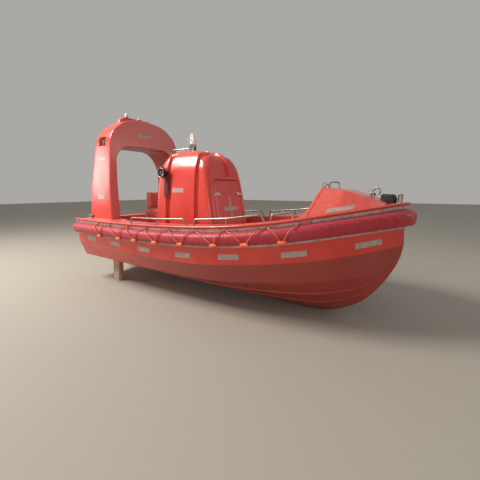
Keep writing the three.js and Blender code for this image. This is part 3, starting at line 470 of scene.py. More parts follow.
bead = np.array([[.001, -.016], [.0198, -.016], [.030, -.002], [.024, .014], [.0088, .021], [-.008, .018],
    [-.008, .003], [.001, .003]])
bead_t = np.sort(np.concatenate([np.linspace(0, 1, 140), np.linspace(.93, 1, 30)]))
bead_rows = rounded(np.broadcast_to(bead, (len(bead_t), 8, 2)), [0, .004, .012, .012, .010, .006, .002, 0],
    closed=True)
nose = ease(bead_t, .965, 1)[:, None]
bead_rows[..., 0] *= np.where(bead_rows[..., 0] > 0, 1 + .8 * nose, 1)
bead_path = edge_sweep(bead_rows, bead_t)
lip_aft = rounded(np.array([[[-.0001, -.016], [.010, -.016], [.016, 0], [.010, .018], [-.02, .020]]]),
    [0, .004, .008, .008, 0])[0]
aft_rows = np.stack([at_height(np.column_stack([TRANSOM - lip_aft[:, 0], np.full(len(lip_aft), y)]),
    TRANSOM_TOP + lip_aft[:, 1]) for y in np.linspace(-1.05, 1.05, 40)])

# Its third colour is the pale tint of dust and painted top light on faces that look up.
NON_SLIP = gelcoat("deck_gelcoat", "grp_deck", "#CF4537", "#D65546", "#E2A396", .42)


def studs(m, pitch, height):
    """Adds non-slip studs to a finish on level faces: height = the lesser of two raised sines, across
    and along, at the given pitch in millimetres. Real studs of 4 mm are drawn three times as coarse."""
    tree = m.node_tree
    place = add_node(tree, "ShaderNodeSeparateXYZ", {0: here(tree)})
    waves = [sums(tree, "SINE", sums(tree, "MULTIPLY", place.outputs[axis], 2000 * math.pi / pitch))
        for axis in "XY"]
    raised = remap(tree, sums(tree, "MINIMUM", *waves), -.1, .5)
    relief(tree, sums(tree, "MULTIPLY", raised, sums(tree, "GREATER_THAN", facing_up(tree), .97)), height)


studs(NON_SLIP, 14, 1.2)
build("deck_and_cockpit", [grid(deck_loop, wrap=True)], NON_SLIP, crease=60, stands_for=["deck_moulding"])
build("gunwale_roll", [grid(bead_path, ring=True, ends=True), grid(aft_rows)], ORANGE, crease=60)


# ---- fender
# A closed-cell foam section all round the gunwale in a crimson cover of PVC-coated cloth, pulled
# tight amidships and puckered where it is drawn round the bow and the quarters.
FENDER = {"top": -.062, "low": -.236, "depth": .142, "bow_from": 1.0, "bow_drop": .030, "bow_thin": .14}


def bow_share(x):
    """0 aft of where the fender grows, 1 at the stem."""
    return np.clip((x - FENDER["bow_from"]) / (STEM["sheer"][0] - FENDER["bow_from"]), 0, 1)


def fender_size(x):
    """Middle, half height and depth of the fender at x."""
    bow = bow_share(x)
    low = FENDER["low"] - FENDER["bow_drop"] * bow
    return (FENDER["top"] + low) / 2, (FENDER["top"] - low) / 2, FENDER["depth"] * (1 - FENDER["bow_thin"]
        * bow)


def pucker(x, round_, seed):
    """Folds of the cover: three crossed sine sets whose lines lean, peaks sharpened by a square root."""
    a = np.sin(61 * x + 5.1 * round_ + 2.3 * np.sin(9 * x + seed))
    b = np.sin(37 * x - 3.7 * round_ + 1.7 * np.sin(15 * x + 2 * seed))
    c = np.sin(113 * x + 2.2 * round_ + seed)
    return a * np.abs(b) - .5 * np.abs(a) + .3 * c * b


t = np.sort(np.concatenate([np.linspace(0, 1, 460), np.linspace(.9, 1, 90)]))
x = curve_at(SHEER, t)[:, 0]
middle, high, depth = (v[:, None] for v in fender_size(x))
angle = np.radians(np.linspace(90, -90, 37))[None]
end = np.clip((x - x[0]) / .16, 0, 1)[:, None]
shrink = .50 + .50 * np.sqrt(np.clip(1 - (1 - end)**2, 0, 1))
slack = .0016 + .0042 * ease(x, 1.3, 2.4)[:, None] + .0030 * (1 - ease(x, -2.5, -1.7))[:, None]
upper = .35 + .65 * ease(angle, .1, .9)
folds = slack * upper * pucker(x[:, None], angle, 1.0) * np.cos(angle)**.5
seam = -.0035 * np.exp(-((angle - .95) / .035)**2) * np.ones_like(x)[:, None]
out = (depth * shrink + folds + seam) * np.maximum(0, np.cos(angle))**.62
rise = middle + (high * (.75 + .25 * shrink) + folds * .6) * np.sign(angle) * np.abs(np.sin(angle))**.8
profile = np.stack([out, rise], -1)
top_root, low_root = (np.stack([np.full_like(middle, -.002), middle + way * high], -1) for way in (1, -1))
profile = np.concatenate([top_root, profile, low_root], 1)
cover_path = edge_sweep(profile, t)


def coated_cloth(name, slot, base, worn, pale):
    """PVC-coated polyester: a plain weave of 1 mm threads under a soft plastic skin, drawn at 3 mm,
    with a faint sheen, chafed paler patches and dust with a painted top light where it faces up."""
    m, tree = start_finish(name, slot, Sheen_Weight=.06, Sheen_Roughness=.5, Coat_Weight=.10,
        Coat_Roughness=.35)
    chafed = tint(tree, blotch(tree, 130, 0, 1, detail=5), base, worn)
    # Dust on upward faces, together with a painted top light that pales them.
    dust_and_top_light = sums(tree, "MULTIPLY", remap(tree, facing_up(tree), .2, .95, 0, .24),
        blotch(tree, 45, .3, 1, detail=6))
    surface(tree, Base_Color=tint(tree, dust_and_top_light, chafed, pale), Roughness=blotch(tree, 70, .42, .62))
    weave = add_node(tree, "ShaderNodeTexVoronoi", {"Vector": here(tree), "Scale": 1000 / 3},
        distance="CHEBYCHEV")
    relief(tree, sums(tree, "MULTIPLY_ADD", weave.outputs["Distance"], .12, blotch(tree, 28, 0, 1)), 1.6)
    return m


COVER = coated_cloth("crimson_coated_cloth", "fender_cover", "#A82230", "#B22F3B", "#B95B60")
fender = build("fender_cover", [grid(cover_path, ring=True, ends=True)], COVER, crease=70,
    stands_for=["fender"])

# ---- fender retaining strips
# Two grey extruded strips clamp the cover's hems to the hull side, above and below the fender, with
# a countersunk stainless screw about every 150 mm.
UPPER_STRIP = (-.020, -.060, 0)
LOWER_STRIP = (-.238, -.266, FENDER["bow_drop"])
STRIP_T, SCREW_PITCH = .009, .15


def strip_profile(size, x):
    """A flat strip with eased edges, set lower towards the bow by its drop."""
    top, low, drop = size
    sink = drop * bow_share(x)[:, None, None]
    flat = np.array([[-.001, top], [STRIP_T * .75, top], [STRIP_T, top - .004], [STRIP_T, low + .004],
        [STRIP_T * .75, low], [-.001, low]])
    p = np.broadcast_to(flat, (len(x), 6, 2)).copy()
    p[..., 1:] -= sink
    return rounded(p, [0, .003, .003, .003, .003, 0], closed=True, steps=2)


def screws(size, spacing):
    """Low domed screw heads on a strip: eight-sided rings of falling radius at rising height."""
    t = np.linspace(0, 1, 1601)
    run = distances(curve_at(SHEER, t))
    s, up, out = edge_frame(np.interp(np.arange(.09, run[-1] - .03, spacing), run, t))
    level = (size[0] + size[1]) / 2 - size[2] * bow_share(s[:, 0])[:, None]
    centre = s + out * STRIP_T + up * level
    ahead = np.cross(up, out)
    a = np.linspace(0, 2 * math.pi, 9)[:-1, None]
    rings = []
    for r, lift in ((.0065, 0), (.0055, .0018), (.0028, .0030), (0, .0032)):
        circle = r * (np.cos(a) * up[:, None] + np.sin(a) * ahead[:, None])
        rings.append(centre[:, None] + circle + lift * out[:, None])
    return [grid(head * side, ring=True) for head in np.stack(rings, 1) for side in (1, MIRROR)]


def extruded(name, slot, base, worn, roughness):
    """Extruded grey plastic or alloy edging, weathered: chalky streaks of 25 mm and grime in spots."""
    m, tree = start_finish(name, slot)
    streak = tint(tree, blotch(tree, 25, 0, 1, detail=6), base, worn)
    surface(tree, Base_Color=tint(tree, blotch(tree, 70, -.6, .7, detail=4), streak, "#7A6D63"),
            Roughness=blotch(tree, 18, roughness - .1, roughness + .15))
    relief(tree, blotch(tree, 9, 0, 1), .3)
    return m


def metal(name, slot, base, roughness, grain=0, metallic=1.0):
    """Bare metal: base is its reflectance, roughness wanders over 22 mm patches, and grain is the
    depth in millimetres of cast or brushed texture, drawn at 5 mm."""
    m, tree = start_finish(name, slot, Metallic=metallic)
    surface(tree, Base_Color=tint(tree, blotch(tree, 30, 0, 1), *base),
            Roughness=blotch(tree, 22, roughness - .05, roughness + .10))
    if grain:
        relief(tree, blotch(tree, 5, 0, 1, detail=5), grain)
    return m


EXTRUSION = extruded("grey_extrusion", "grey_strip", "#B39B95", "#CAB5AF", .5)
STAINLESS = metal("polished_stainless_steel", "stainless", ("#ABA39B", "#928A82"), .28)
t = np.sort(np.concatenate([np.linspace(0, 1, 200), np.linspace(.93, 1, 40)]))
x = curve_at(SHEER, t)[:, 0]
for name, size in (("upper", UPPER_STRIP), ("lower", LOWER_STRIP)):
    build(name + "_retaining_strip", [grid(edge_sweep(strip_profile(size, x), t), ring=True, ends=True)],
        EXTRUSION, crease=50, stands_for=["fender_strip_" + name])
    build(name + "_strip_screws", screws(size, SCREW_PITCH), STAINLESS)

# ---- arch
# The mast arch is one hollow glass-fibre moulding over the cockpit's after end, bedded on the side
# decks. It carries the lamps, and rights the boat if it is turned over.
ARCH_FRONT = np.array([[.868, 1.000], [.838, 1.750], [.802, 2.400], [.785, 2.550], [.739, 2.656],
    [.664, 2.752], [.512, 2.862], [.335, 2.934], [0, 2.966]])     # y, z
ARCH_SIDE = np.array([[1.000, -2.368, -1.716], [1.750, -2.328, -1.780], [2.400, -2.246, -1.792],
    [2.650, -2.200, -1.798], [2.860, -2.152, -1.815], [2.990, -2.112, -1.856]])     # z, aft and fwd x
# x, half, soffit, corner
OPENING = np.array([[-2.420, .752, 2.416, .650, .790], [-1.700, .672, 2.442, .240, .230]])
NICHE = ((-2.130, -1.930), (.722, 1.000), (2.424, 2.584))
LEG, CORNER = .44, .82             # shares of the way from foot to crown where leg and corner end


def smooth_table(at, table, column, blur):
    """A table's straight runs, averaged over blur either side."""
    steps = np.linspace(-blur, blur, 9)
    return np.mean([np.interp(at + s, table[:, 0], table[:, column]) for s in steps], axis=0)


def arch_inside(x, share):
    """The opening at x: straight leg, quarter ellipse, level soffit."""
    half, soffit, a, b = (np.interp(x, OPENING[:, 0], OPENING[:, k]) for k in (1, 2, 3, 4))
    turn = np.clip((share - LEG) / (CORNER - LEG), 0, 1) * math.pi / 2
    y = half - a + a * np.cos(turn) - np.clip((share - CORNER) / (1 - CORNER), 0, 1) * (half - a)
    z = soffit - b + b * np.sin(turn) - (1 - np.clip(share / LEG, 0, 1)) * (soffit - b - 1.0)
    return y, z


full = np.vstack([ARCH_FRONT, ARCH_FRONT[-2::-1] * [-1, 1]])
share = np.linspace(0, 1, 90)
outer = curve_at(full, np.interp(share, [0, LEG, CORNER, 1], [0, 2.3, 7.0, 8]) / 16)


def arch_face(column, guess):
    """From the outer edge to the inner on the aft or forward face: y and z run straight across, and
    x follows the side outline at that height."""
    y, z = arch_inside(guess, share)
    y, z = arch_inside(smooth_table(z, ARCH_SIDE, column, .08), share)
    rows = []
    for f in np.linspace(0, 1, 9):
        py, pz = mix(outer[:, 0], y, f), mix(outer[:, 1], z, f)
        rows.append(np.column_stack([smooth_table(pz, ARCH_SIDE, column, .08), py, pz]))
    return rows


fore, back = arch_face(2, -1.79), arch_face(1, -2.25)
skin, lining = [], []
for f in np.linspace(0, 1, 8)[1:-1]:
    crown = .006 * math.sin(math.pi * f) * outer[:, 0]
    skin.append(mix(back[0], fore[0], f) + np.column_stack([0 * share, crown, 0 * share]))
    x = mix(fore[-1][:, 0], back[-1][:, 0], f)
    lining.append(np.column_stack([x, *arch_inside(x, share)]))
loop = [back[0], *skin, *fore, *lining, *back[:0:-1]]
radii = [.042, *[0] * 6, .048, *[0] * 7, .030, *[0] * 6, .026, *[0] * 7]
arch_rows = rounded(np.stack(loop, 1), radii, steps=5, closed=True)
arch_rows = np.concatenate([arch_rows, arch_rows[-2::-1] * MIRROR])


def corner_ring(x, y, z, r, steps=6):
    """Level rounded rectangle between x and y limits, its corners quarter circles of radius r."""
    corners = ((x[1] - r, y[1] - r), (x[0] + r, y[1] - r), (x[0] + r, y[0] + r), (x[1] - r, y[0] + r))
    a = np.concatenate([np.linspace(0, math.pi / 2, steps + 1) + k * math.pi / 2 for k in range(4)])
    return at_height(np.repeat(corners, steps + 1, axis=0) + r * np.column_stack([np.cos(a), np.sin(a)]), z)


def soft_block(x, y, z, r, edge, both=False, steps=4):
    """A block with round upright corners. Its top edge, and its foot too where both is set, is a
    quarter circle: inset = edge (1 - cos a), height = edge sin a."""
    turn = np.linspace(0, math.pi / 2, steps + 1)
    inset, rise = edge * (1 - np.cos(turn)), edge * np.sin(turn)
    levels = [*zip(z[1] - edge + rise, inset)]
    foot = [*zip(z[0] + edge - rise, inset)][::-1] if both else [(z[0], 0)]
    rings = [corner_ring((x[0] + i, x[1] - i), (y[0] + i, y[1] - i), h, max(r - i, 1e-4))
        for h, i in foot + levels]
    return grid(np.stack(rings), ring=True, ends=True)


def applied(piece):
    """A new mesh of a piece as its modifiers leave it."""
    bpy.context.view_layer.update()
    return bpy.data.meshes.new_from_object(piece.evaluated_get(bpy.context.evaluated_depsgraph_get()))


def cut(piece, forms):
    """Takes closed forms out of a piece for good, each with its own boolean, then removes the cutters."""
    for form in forms:
        cutter = place_mesh("cutter", [form])
        turn_outwards(cutter.data, merge=False)
        tool = piece.modifiers.new("cut", "BOOLEAN")
        tool.operation, tool.solver, tool.object = "DIFFERENCE", "EXACT", cutter
        done = applied(piece)
        piece.modifiers.remove(tool)
        piece.data = done
        bpy.data.objects.remove(cutter)
    piece.data.set_sharp_from_angle(angle=math.radians(40))


arch = build("mast_arch", [grid(arch_rows, ring=True, ends=True)], ORANGE, crease=60, stands_for=["arch"])
nx, ny, nz = NICHE
cut(arch, [soft_block(nx, sorted((k * ny[0], k * ny[1])), nz, .02, .012, both=True) for k in (-1, 1)])
# The lining of the opening gets a painted shade too, darker on faces that look in at a point in the
# middle of it, and the face that looks forward is paled by a painted reflection
spots = np.array([v.co for v in arch.data.vertices])
looks = np.array([n.vector for n in arch.data.vertex_normals])
inwards = unit((np.array([0, 0, 1.7]) - spots) * [0, 1, 1])
paint_light_share(arch, "painted_shade", .62 * ease(np.sum(inwards * looks, 1), .3, .8))
# Painted reflection: the face that looks forward is paled, as if it mirrored the bright surroundings.
paint_light_share(arch, "painted_reflection", .40 * ease(looks[:, 0], .35, .85))

# Raised housing over the crown, moulded on, with a low seat for the lamp and one for an aerial.
housing = []
for z, aft, fwd, half, r in ((2.90, -2.175, -2.035, .425, .05), (2.965, -2.172, -2.037, .405, .05),
        (2.998, -2.170, -2.040, .360, .05), (3.018, -2.166, -2.044, .318, .045),
        (3.027, -2.158, -2.052, .300, .038), (3.030, -2.140, -2.070, .280, .030)):
    housing.append(corner_ring((aft, fwd), (-half, half), z, r))
build("arch_housing", [grid(np.stack(housing), ring=True, ends=True),
    soft_block((-2.095, -2.005), (-.02, .08), (2.95, 3.033), .03, .012)], ORANGE, crease=50)

# ---- console casing
# The console covers the engine: a tall glass-fibre casing with a rounded roof, two moulded grooves
# down each side, a shallow channel down the front slope, and a raised coaming round its front hatch.
CONSOLE = np.array([
    [.6343, -1.025, .318, .500, .070], [1.500, -1.008, .171, .488, .080], [1.900, -.985, .103, .455, .100],
    [2.070, -.962, .056, .415, .130], [2.175, -.920, -.010, .368, .150], [2.250, -.862, -.120, .300, .150],
    [2.284, -.800, -.260, .225, .130], [2.295, -.750, -.360, .165, .100]])    # z, aft and fwd x, half, corner
GROOVES = ((-.765, -.645), (-.141, -.038))
GROOVE_DEPTH, CASING_WALL = .042, .009
CHANNEL = (.12, 1.86, -.42)          # half width, foot z, aft end x
HATCH = {"half": .356, "low": .762, "high": 1.800, "r": .090, "t": .034}
LEAN = (.318 - .103) / (1.900 - .634)
FRONT_FACE = (.318, .634, -LEAN, 1)  # x at z, run per rise, and the way that it faces


def packed(wanted, low, high, gap=.0015):
    """The wanted places, squeezed between low and high for each row and kept at least gap apart."""
    k = np.arange(len(wanted))
    return np.maximum(low[:, None] + k * gap, np.minimum(wanted, high[:, None] - k[::-1] * gap))


def near(edges, reach, step, low, high):
    """Places every step from low to high, and closer ones about each edge."""
    close = [e + d for e in edges for d in np.linspace(-reach, reach, 7)]
    far = [v for v in np.arange(low, high, step) if all(abs(v - e) > reach for e in edges)]
    return np.array(sorted([low, high] + close + far))


def console_skin(levels):
    """Rings of the casing at each height: front, corner, port side, corner, back, corner, starboard
    side, corner. A ring is a rounded rectangle whose limits follow the table along a smooth curve."""
    fine_t = np.linspace(0, 1, 2001)
    fine_rows = curve_at(CONSOLE, fine_t)
    z, aft, fwd, half, r = curve_at(CONSOLE, np.interp(levels, fine_rows[:, 0], fine_t)).T
    front = packed(near([-.37, -.356, -CHANNEL[0], CHANNEL[0], .356, .37], .009, .03, -.43, .43), r - half,
        half - r)
    side = packed(near([e for g in GROOVES for e in g], .011, .03, -.955, .248), aft + r, fwd - r)
    back = packed(np.linspace(-.42, .42, 22), r - half, half - r)
    a = np.linspace(0, math.pi / 2, 11)[1:-1]
    col = lambda v: v[:, None]
    line = lambda x, y: np.stack([x + 0 * y, y + 0 * x, col(z) + 0 * x + 0 * y], -1)
    arcs = []
    for k, (cx, cy) in enumerate(((fwd - r, half - r), (aft + r, half - r), (aft + r, r - half),
            (fwd - r, r - half))):
        turn = a + k * math.pi / 2
        arcs.append(line(col(cx) + col(r) * np.cos(turn), col(cy) + col(r) * np.sin(turn)))
    return np.concatenate([line(col(fwd), front), arcs[0], line(side[:, ::-1], col(half)), arcs[1],
        line(col(aft), back[:, ::-1]), arcs[2], line(side, col(-half)), arcs[3]], 1)


def console_depth(p):
    """How far the skin is sunk: the grooves and the channel, with sides that slope over 14 mm."""
    x, y, z = p[..., 0], np.abs(p[..., 1]), p[..., 2]
    upright = ease(y, .155, .205) * ease(z, .640, .665) * (1 - ease(z, 2.205, 2.245))
    depth = 0
    for a, b in GROOVES:
        depth = np.maximum(depth, ease(x, a - .007, a + .007) * (1 - ease(x, b - .007, b + .007)) * upright)
    half, foot, end = CHANNEL
    inside = (1 - ease(y, half - .008, half + .008)) * ease(z, foot - .01, foot + .02) * ease(x, end - .01,
        end + .01)
    return GROOVE_DEPTH * np.maximum(depth, inside)


levels = np.array(sorted({*np.linspace(.6343, .745, 6), .748, .762, *np.linspace(.80, 1.78, 34), 1.80, 1.814,
    *near([1.865], .02, .02, 1.83, 2.06), *np.linspace(2.07, 2.25, 22), *np.linspace(2.25, 2.2949, 18)}))
skin = console_skin(levels)
down, around = np.gradient(skin, axis=0), np.roll(skin, -1, 1) - np.roll(skin, 1, 1)
inwards = unit(np.cross(around, down))
inwards *= np.sign(np.sum(inwards * (np.array([-.35, 0, 1.4]) - skin), -1, keepdims=True))
skin = skin + inwards * console_depth(skin)[..., None]
middle = np.array([-.555, 0, 0])
crown = [skin[-1] * [k, k, 1] + middle * (1 - k) + [0, 0, .0015 * (1 - k)] for k in (.75, .5, .25, 0)]
skin = np.concatenate([skin, np.stack(crown)])
points, faces = grid(skin, ring=True)
centres = points[np.array(faces)].mean(1)
h = HATCH
across, height = np.abs(centres[:, 1]), centres[:, 2]
gone = (centres[:, 0] > .06) & (across < h["half"]) & (height > h["low"]) & (height < h["high"])
inset = np.maximum(0, [across - (h["half"] - h["r"]),
    np.abs(height - (h["low"] + h["high"]) / 2) - ((h["high"] - h["low"]) / 2 - h["r"])])
gone &= np.hypot(*inset) < h["r"] + .004
shell = [face for face, lost in zip(faces, gone) if not lost]
build("console_casing", [(points, shell)], ORANGE, crease=60, shell=CASING_WALL,
    stands_for=["console_casing"])


def on_slope(plane, y, z, proud):
    """A point on a leaning face: x = x0 + run (z - z0), then lifted proud of it, square to the face."""
    x0, z0, run, way = plane
    k = way / math.hypot(1, run)
    return np.stack([x0 + run * (z - z0) + proud * k, y + 0 * z, z - proud * k * run], -1)


def slope_rings(plane, half, low, high, r, profile, least=.02):
    """Rounded rectangles on a leaning face, one for each (outwards, proud) pair of the profile: grown
    outwards, their corners never under the least radius, and lifted."""
    rings = []
    for d, lift in profile:
        y, z, _ = corner_ring((-half - d, half + d), (low - d, high + d), 0, max(r + d, least), 8).T
        rings.append(on_slope(plane, y, z, lift))
    return np.stack(rings)


coaming = slope_rings(FRONT_FACE, h["half"], h["low"], h["high"], h["r"],
    [(.044, -.004), (.042, .004), (.034, .011), (.023, .014), (.012, .011), (.003, .004), (0, -.004),
    (0, -.060), (.010, -.060), (.012, -.006)])
build("hatch_coaming", [grid(coaming, wrap=True, ring=True)], ORANGE, crease=60)
HINGE_X, HINGE_Z, HINGES_Y = .309262, .758, (-.2, .2)
hinge_fixed = [soft_block((HINGE_X - .05, HINGE_X + .010), sorted((y + k * .036, y + k * .048)),
    (HINGE_Z - .022, HINGE_Z + .010), .004, .003) for y in HINGES_Y for k in (-1, 1)]


def circle(sides):
    """Cosine and sine of even steps round a circle, shaped to multiply points."""
    a = np.linspace(0, 2 * math.pi, sides + 1)[:-1, None]
    return np.cos(a), np.sin(a)


def tube(path, r, sides=14, reference=(0, 1, 0), taper=None, ends=True):
    """A round tube along a path. Each ring lies square to the path, turned by the part of the
    reference direction that is square to it; taper multiplies the radius, one value a point."""
    p = np.asarray(path, float)
    along = unit(np.gradient(p, axis=0))
    side = unit(np.broadcast_to(reference, p.shape) - along * np.sum(along * reference, -1, keepdims=True))
    other = np.cross(along, side)
    cos, sin = circle(sides)
    size = r * (np.ones(len(p)) if taper is None else np.asarray(taper))[:, None, None]
    return grid(p[:, None] + size * (cos * side[:, None] + sin * other[:, None]), ring=True, ends=ends)


def bent(points, corner, steps=8):
    """A polyline with each inner corner a quadratic arc that starts and ends corner away from it."""
    p = np.asarray(points, float)[None]
    return rounded(p, [0] + [corner] * (p.shape[1] - 2) + [0], steps=steps)[0]


def rod(a, b, r, sides=16, edge=.0015):
    """A straight rod from a to b with eased ends."""
    a, b = np.array(a, float), np.array(b, float)
    way = unit(b - a)
    e = min(edge, r * .6)
    path = np.stack([a, a + way * e, b - way * e, b])
    direction = (0, 1, 0) if abs(way[1]) < .9 else (1, 0, 0)
    return tube(path, r, sides, direction, [1 - e / r, 1, 1, 1 - e / r])


build("hatch_hinge_lugs", hinge_fixed + [rod((HINGE_X, y - .048, HINGE_Z), (HINGE_X, y + .048, HINGE_Z), .005)
    for y in HINGES_Y], STAINLESS)

# ---- console hatch
# The engine hatch is its own flat moulding inside a raised round bead. It folds down on two hinges
# and is held by two stainless T-handle latches.
RUN = .006
panel_profile = [(-.10, -h["t"]), (-.001, -h["t"]), (0, -.030), (0, -.005), (-.003, -.0012), (-.009, 0),
    (-.05, 0), (-.10, 0), (-.16, 0)]
panel = slope_rings(FRONT_FACE, h["half"] - RUN, h["low"] + RUN, h["high"] - RUN, h["r"] - RUN, panel_profile)
y, z, _ = corner_ring((-.19, .19), (.93, 1.63), 0, .03, 8).T
core, back_core = (on_slope(FRONT_FACE, 0 * y, np.clip(z, 1.08, 1.48), proud)[None] for proud in (0, -h["t"]))
panel = np.concatenate([back_core, panel, core])
leaves = []
for y in HINGES_Y:
    leaves += [rod((HINGE_X, y - .034, HINGE_Z), (HINGE_X, y + .034, HINGE_Z), .011),
        soft_block((HINGE_X - .030, HINGE_X + .004), (y - .034, y + .034), (HINGE_Z + .006, HINGE_Z + .058),
        .004, .003)]
build("console_hatch", [grid(panel, ring=True)], ORANGE, "hatch_body", crease=50,
    stands_for=["console_hatch"])
build("hatch_hinge_leaves", leaves, STAINLESS, "hatch_body")
PLATED = metal("dull_nickel_plated_casting", "stainless", ("#EADAD3", "#C9B8B1"), .42, metallic=.35)
SIDES = (("starboard", -1), ("port", 1))
LATCH_Z = 1.570
for name, k in SIDES:
    x, y, z = .318 - LEAN * (LATCH_Z - .634), k * .310, LATCH_Z
    grip = bent([(x + .024, y - .082 * k, z - .006), (x + .025, y - .05 * k, z), (x + .025, y + .04 * k, z),
        (x + .024, y + .078 * k, z - .006)], .02)
    y -= k * .025
    parts = [soft_block((x - .008, x + .008), (y - .030, y + .030), (z - .030, z + .030), .006, .002,
        both=True), rod((x, y, z), (x + .026, y, z), .012), tube(grip, .0155, 14, (0, 0, 1))]
    build("hatch_latch_" + name, parts, PLATED, "hatch_body", stands_for=["hatch_latch_" + name])

# ---- console fittings
# Two stainless handrails on the roof, the lifting hook on its bolted base, and a black searchlight
# stowed on the starboard side with its webbing strap.
ROOF = 2.2953


def axes_round(way, first=(0, 1, 0)):
    """A direction's unit vector, and two more that are square to it and to each other."""
    way = unit(np.array(way, float))
    side = unit(np.cross(way, first if abs(way @ np.array(first)) < .9 else (1, 0, 0)))
    return way, side, np.cross(way, side)


def lathe(start, way, profile, sides=24, hollow=False):
    """A turned form: profile rows are (distance along way from start, radius). A radius of 0 closes
    it, and a hollow one's last row meets its first."""
    way, side, other = axes_round(way)
    p = np.asarray(profile, float)
    cos, sin = circle(sides)
    return grid(np.array(start) + p[:, :1, None] * way + p[:, 1:, None] * (cos * side + sin * other),
        wrap=hollow, ring=True)


def torus(centre, axis, major, minor, rings=40, sides=14):
    """A ring: a circle of radius minor carried round a circle of radius major, square to the axis."""
    way, side, other = axes_round(axis, (0, 0, 1))
    (cos, sin), (cos_small, sin_small) = circle(rings), circle(sides)
    out = cos[:, None] * side + sin[:, None] * other
    return grid(np.array(centre) + out * (major + minor * cos_small) + way * minor * sin_small, wrap=True,
        ring=True)


def slab(outline, low, high, corner=0, edge=.0015, steps=4):
    """A flat outline of (x, z) pairs given thickness from y low to high. Its corners are rounded, and
    its rim is eased by an inset of edge, measured square to the outline."""
    p = np.asarray(outline, float)[None]
    if corner:
        p = rounded(p, [corner] * p.shape[1], steps=steps, closed=True)
    p = p[0]
    along = unit(np.roll(p, -1, 0) - np.roll(p, 1, 0))
    turn = np.sign(np.sum(p[:, 0] * np.roll(p[:, 1], -1) - p[:, 1] * np.roll(p[:, 0], -1)))
    inner = p + turn * edge * np.column_stack([-along[:, 1], along[:, 0]])
    rings = []
    for q, w in ((inner, low), (p, low + edge), (p, high - edge), (inner, high)):
        rings.append(np.column_stack([q[:, 0], np.full(len(q), w), q[:, 1]]))
    return grid(np.stack(rings), ring=True, ends=True)


def flange(x, y, z, r=.028):
    """A low turned foot for a rail."""
    return lathe((x, y, z - .012), (0, 0, 1),
        [(0, 0), (0, r), (.012, r), (.015, r - .003), (.017, r * .62), (.019, 0)])


RAIL_TOP, RAIL_R, RAIL_Y, RAIL_ENDS = 2.322, .011, .250, (-.850, -.430)
for name, k in SIDES:
    (a, b), y = RAIL_ENDS, k * RAIL_Y
    path = bent([(a, y, 2.19), (a, y, RAIL_TOP), (b, y, RAIL_TOP), (b, y, 2.19)], .055)
    build("console_rail_" + name, [tube(path, RAIL_R), flange(a, y, 2.237), flange(b, y, 2.262)], STAINLESS,
        stands_for=["console_rail_" + name])

hook_x, pin_z = -.600, ROOF + .105
hook = [soft_block((hook_x - .090, hook_x + .090), (-.060, .060), (ROOF, ROOF + .014), .018, .003)]
for y in (-.034, .022):
    hook.append(slab([(hook_x - .060, ROOF + .012), (hook_x + .060, ROOF + .012),
        (hook_x + .052, ROOF + .145), (hook_x - .052, ROOF + .145)], y, y + .012, .035))
hook.append(rod((hook_x, -.050, pin_z), (hook_x, .050, pin_z), .013))
for k in (-1, 1):
    hook.append(lathe((hook_x, k * .035, pin_z), (0, k, 0),
        [(0, 0), (0, .021), (.010, .021), (.012, .018), (.012, 0)], 6))
    for x in (-.068, .068):
        hook.append(lathe((hook_x + x, k * .044, ROOF + .013), (0, 0, 1),
            [(0, .011), (.007, .011), (.009, .009), (.009, 0)], 6))
build("hook_base", hook, STAINLESS, stands_for=["hook_base"])


def painted(name, slot, base, chipped, rust, roughness):
    """Brushed enamel on metal: slight brush marks, chips to a duller coat at 20 mm and thin rust stains."""
    m, tree = start_finish(name, slot)
    worn = tint(tree, blotch(tree, 20, -1.2, .9, detail=6), base, chipped)
    surface(tree, Base_Color=tint(tree, blotch(tree, 45, -1.6, .8, detail=5), worn, rust),
            Roughness=blotch(tree, 15, roughness - .08, roughness + .12))
    relief(tree, blotch(tree, 8, 0, 1, detail=4), .25)
    return m


HOOK_WHITE = painted("white_painted_forging", "hook_white", "#E4DED4", "#B9AEA2", "#A5714F", .45)
z = pin_z + .010
head = build("hook_head", [slab([(hook_x - .046, z - .030), (hook_x + .046, z - .030),
    (hook_x + .052, z + .060), (hook_x + .028, z + .178), (hook_x - .010, z + .210),
    (hook_x - .052, z + .184), (hook_x - .060, z + .110)], -.016, .016, .022, .006),], HOOK_WHITE,
    stands_for=["hook_head"])
cut(head, [lathe((hook_x - .012, -.05, z + .166), (0, 1, 0), [(0, 0), (0, .017), (.10, .017), (.10, 0)], 24)])
trim = [torus((hook_x - .012, 0, z + .166), (0, 1, 0), .024, .0185, 32, 10),
    rod((hook_x - .006, -.110, z + .096), (hook_x - .006, .110, z + .096), .0085),
    tube(bent([(hook_x - .020, 0, z + .090), (hook_x - .075, 0, z + .106), (hook_x - .120, 0, z + .104)],
    .03), .009), lathe((hook_x, -.021, z + .055), (0, 1, 0), [(0, 0), (0, .024), (.042, .024), (.042, 0)],
    20)]
for k in (-1, 1):
    trim.append(lathe((hook_x - .006, k * .103, z + .096), (0, k, 0),
        [(0, 0), (0, .012), (.009, .012), (.012, .008), (.012, 0)]))
build("hook_fittings", trim, HOOK_WHITE)


def moulded(name, slot, base, scuffed, roughness, grain, millimetres=.15, **inputs):
    """Moulded plastic or rubber with a fine spark-eroded grain of the given size, greyed where scuffed."""
    m, tree = start_finish(name, slot, **inputs)
    surface(tree, Base_Color=tint(tree, blotch(tree, 35, -.4, .9, detail=5), base, scuffed),
            Roughness=blotch(tree, 25, roughness - .08, roughness + .12))
    relief(tree, blotch(tree, grain, 0, 1), millimetres)
    return m


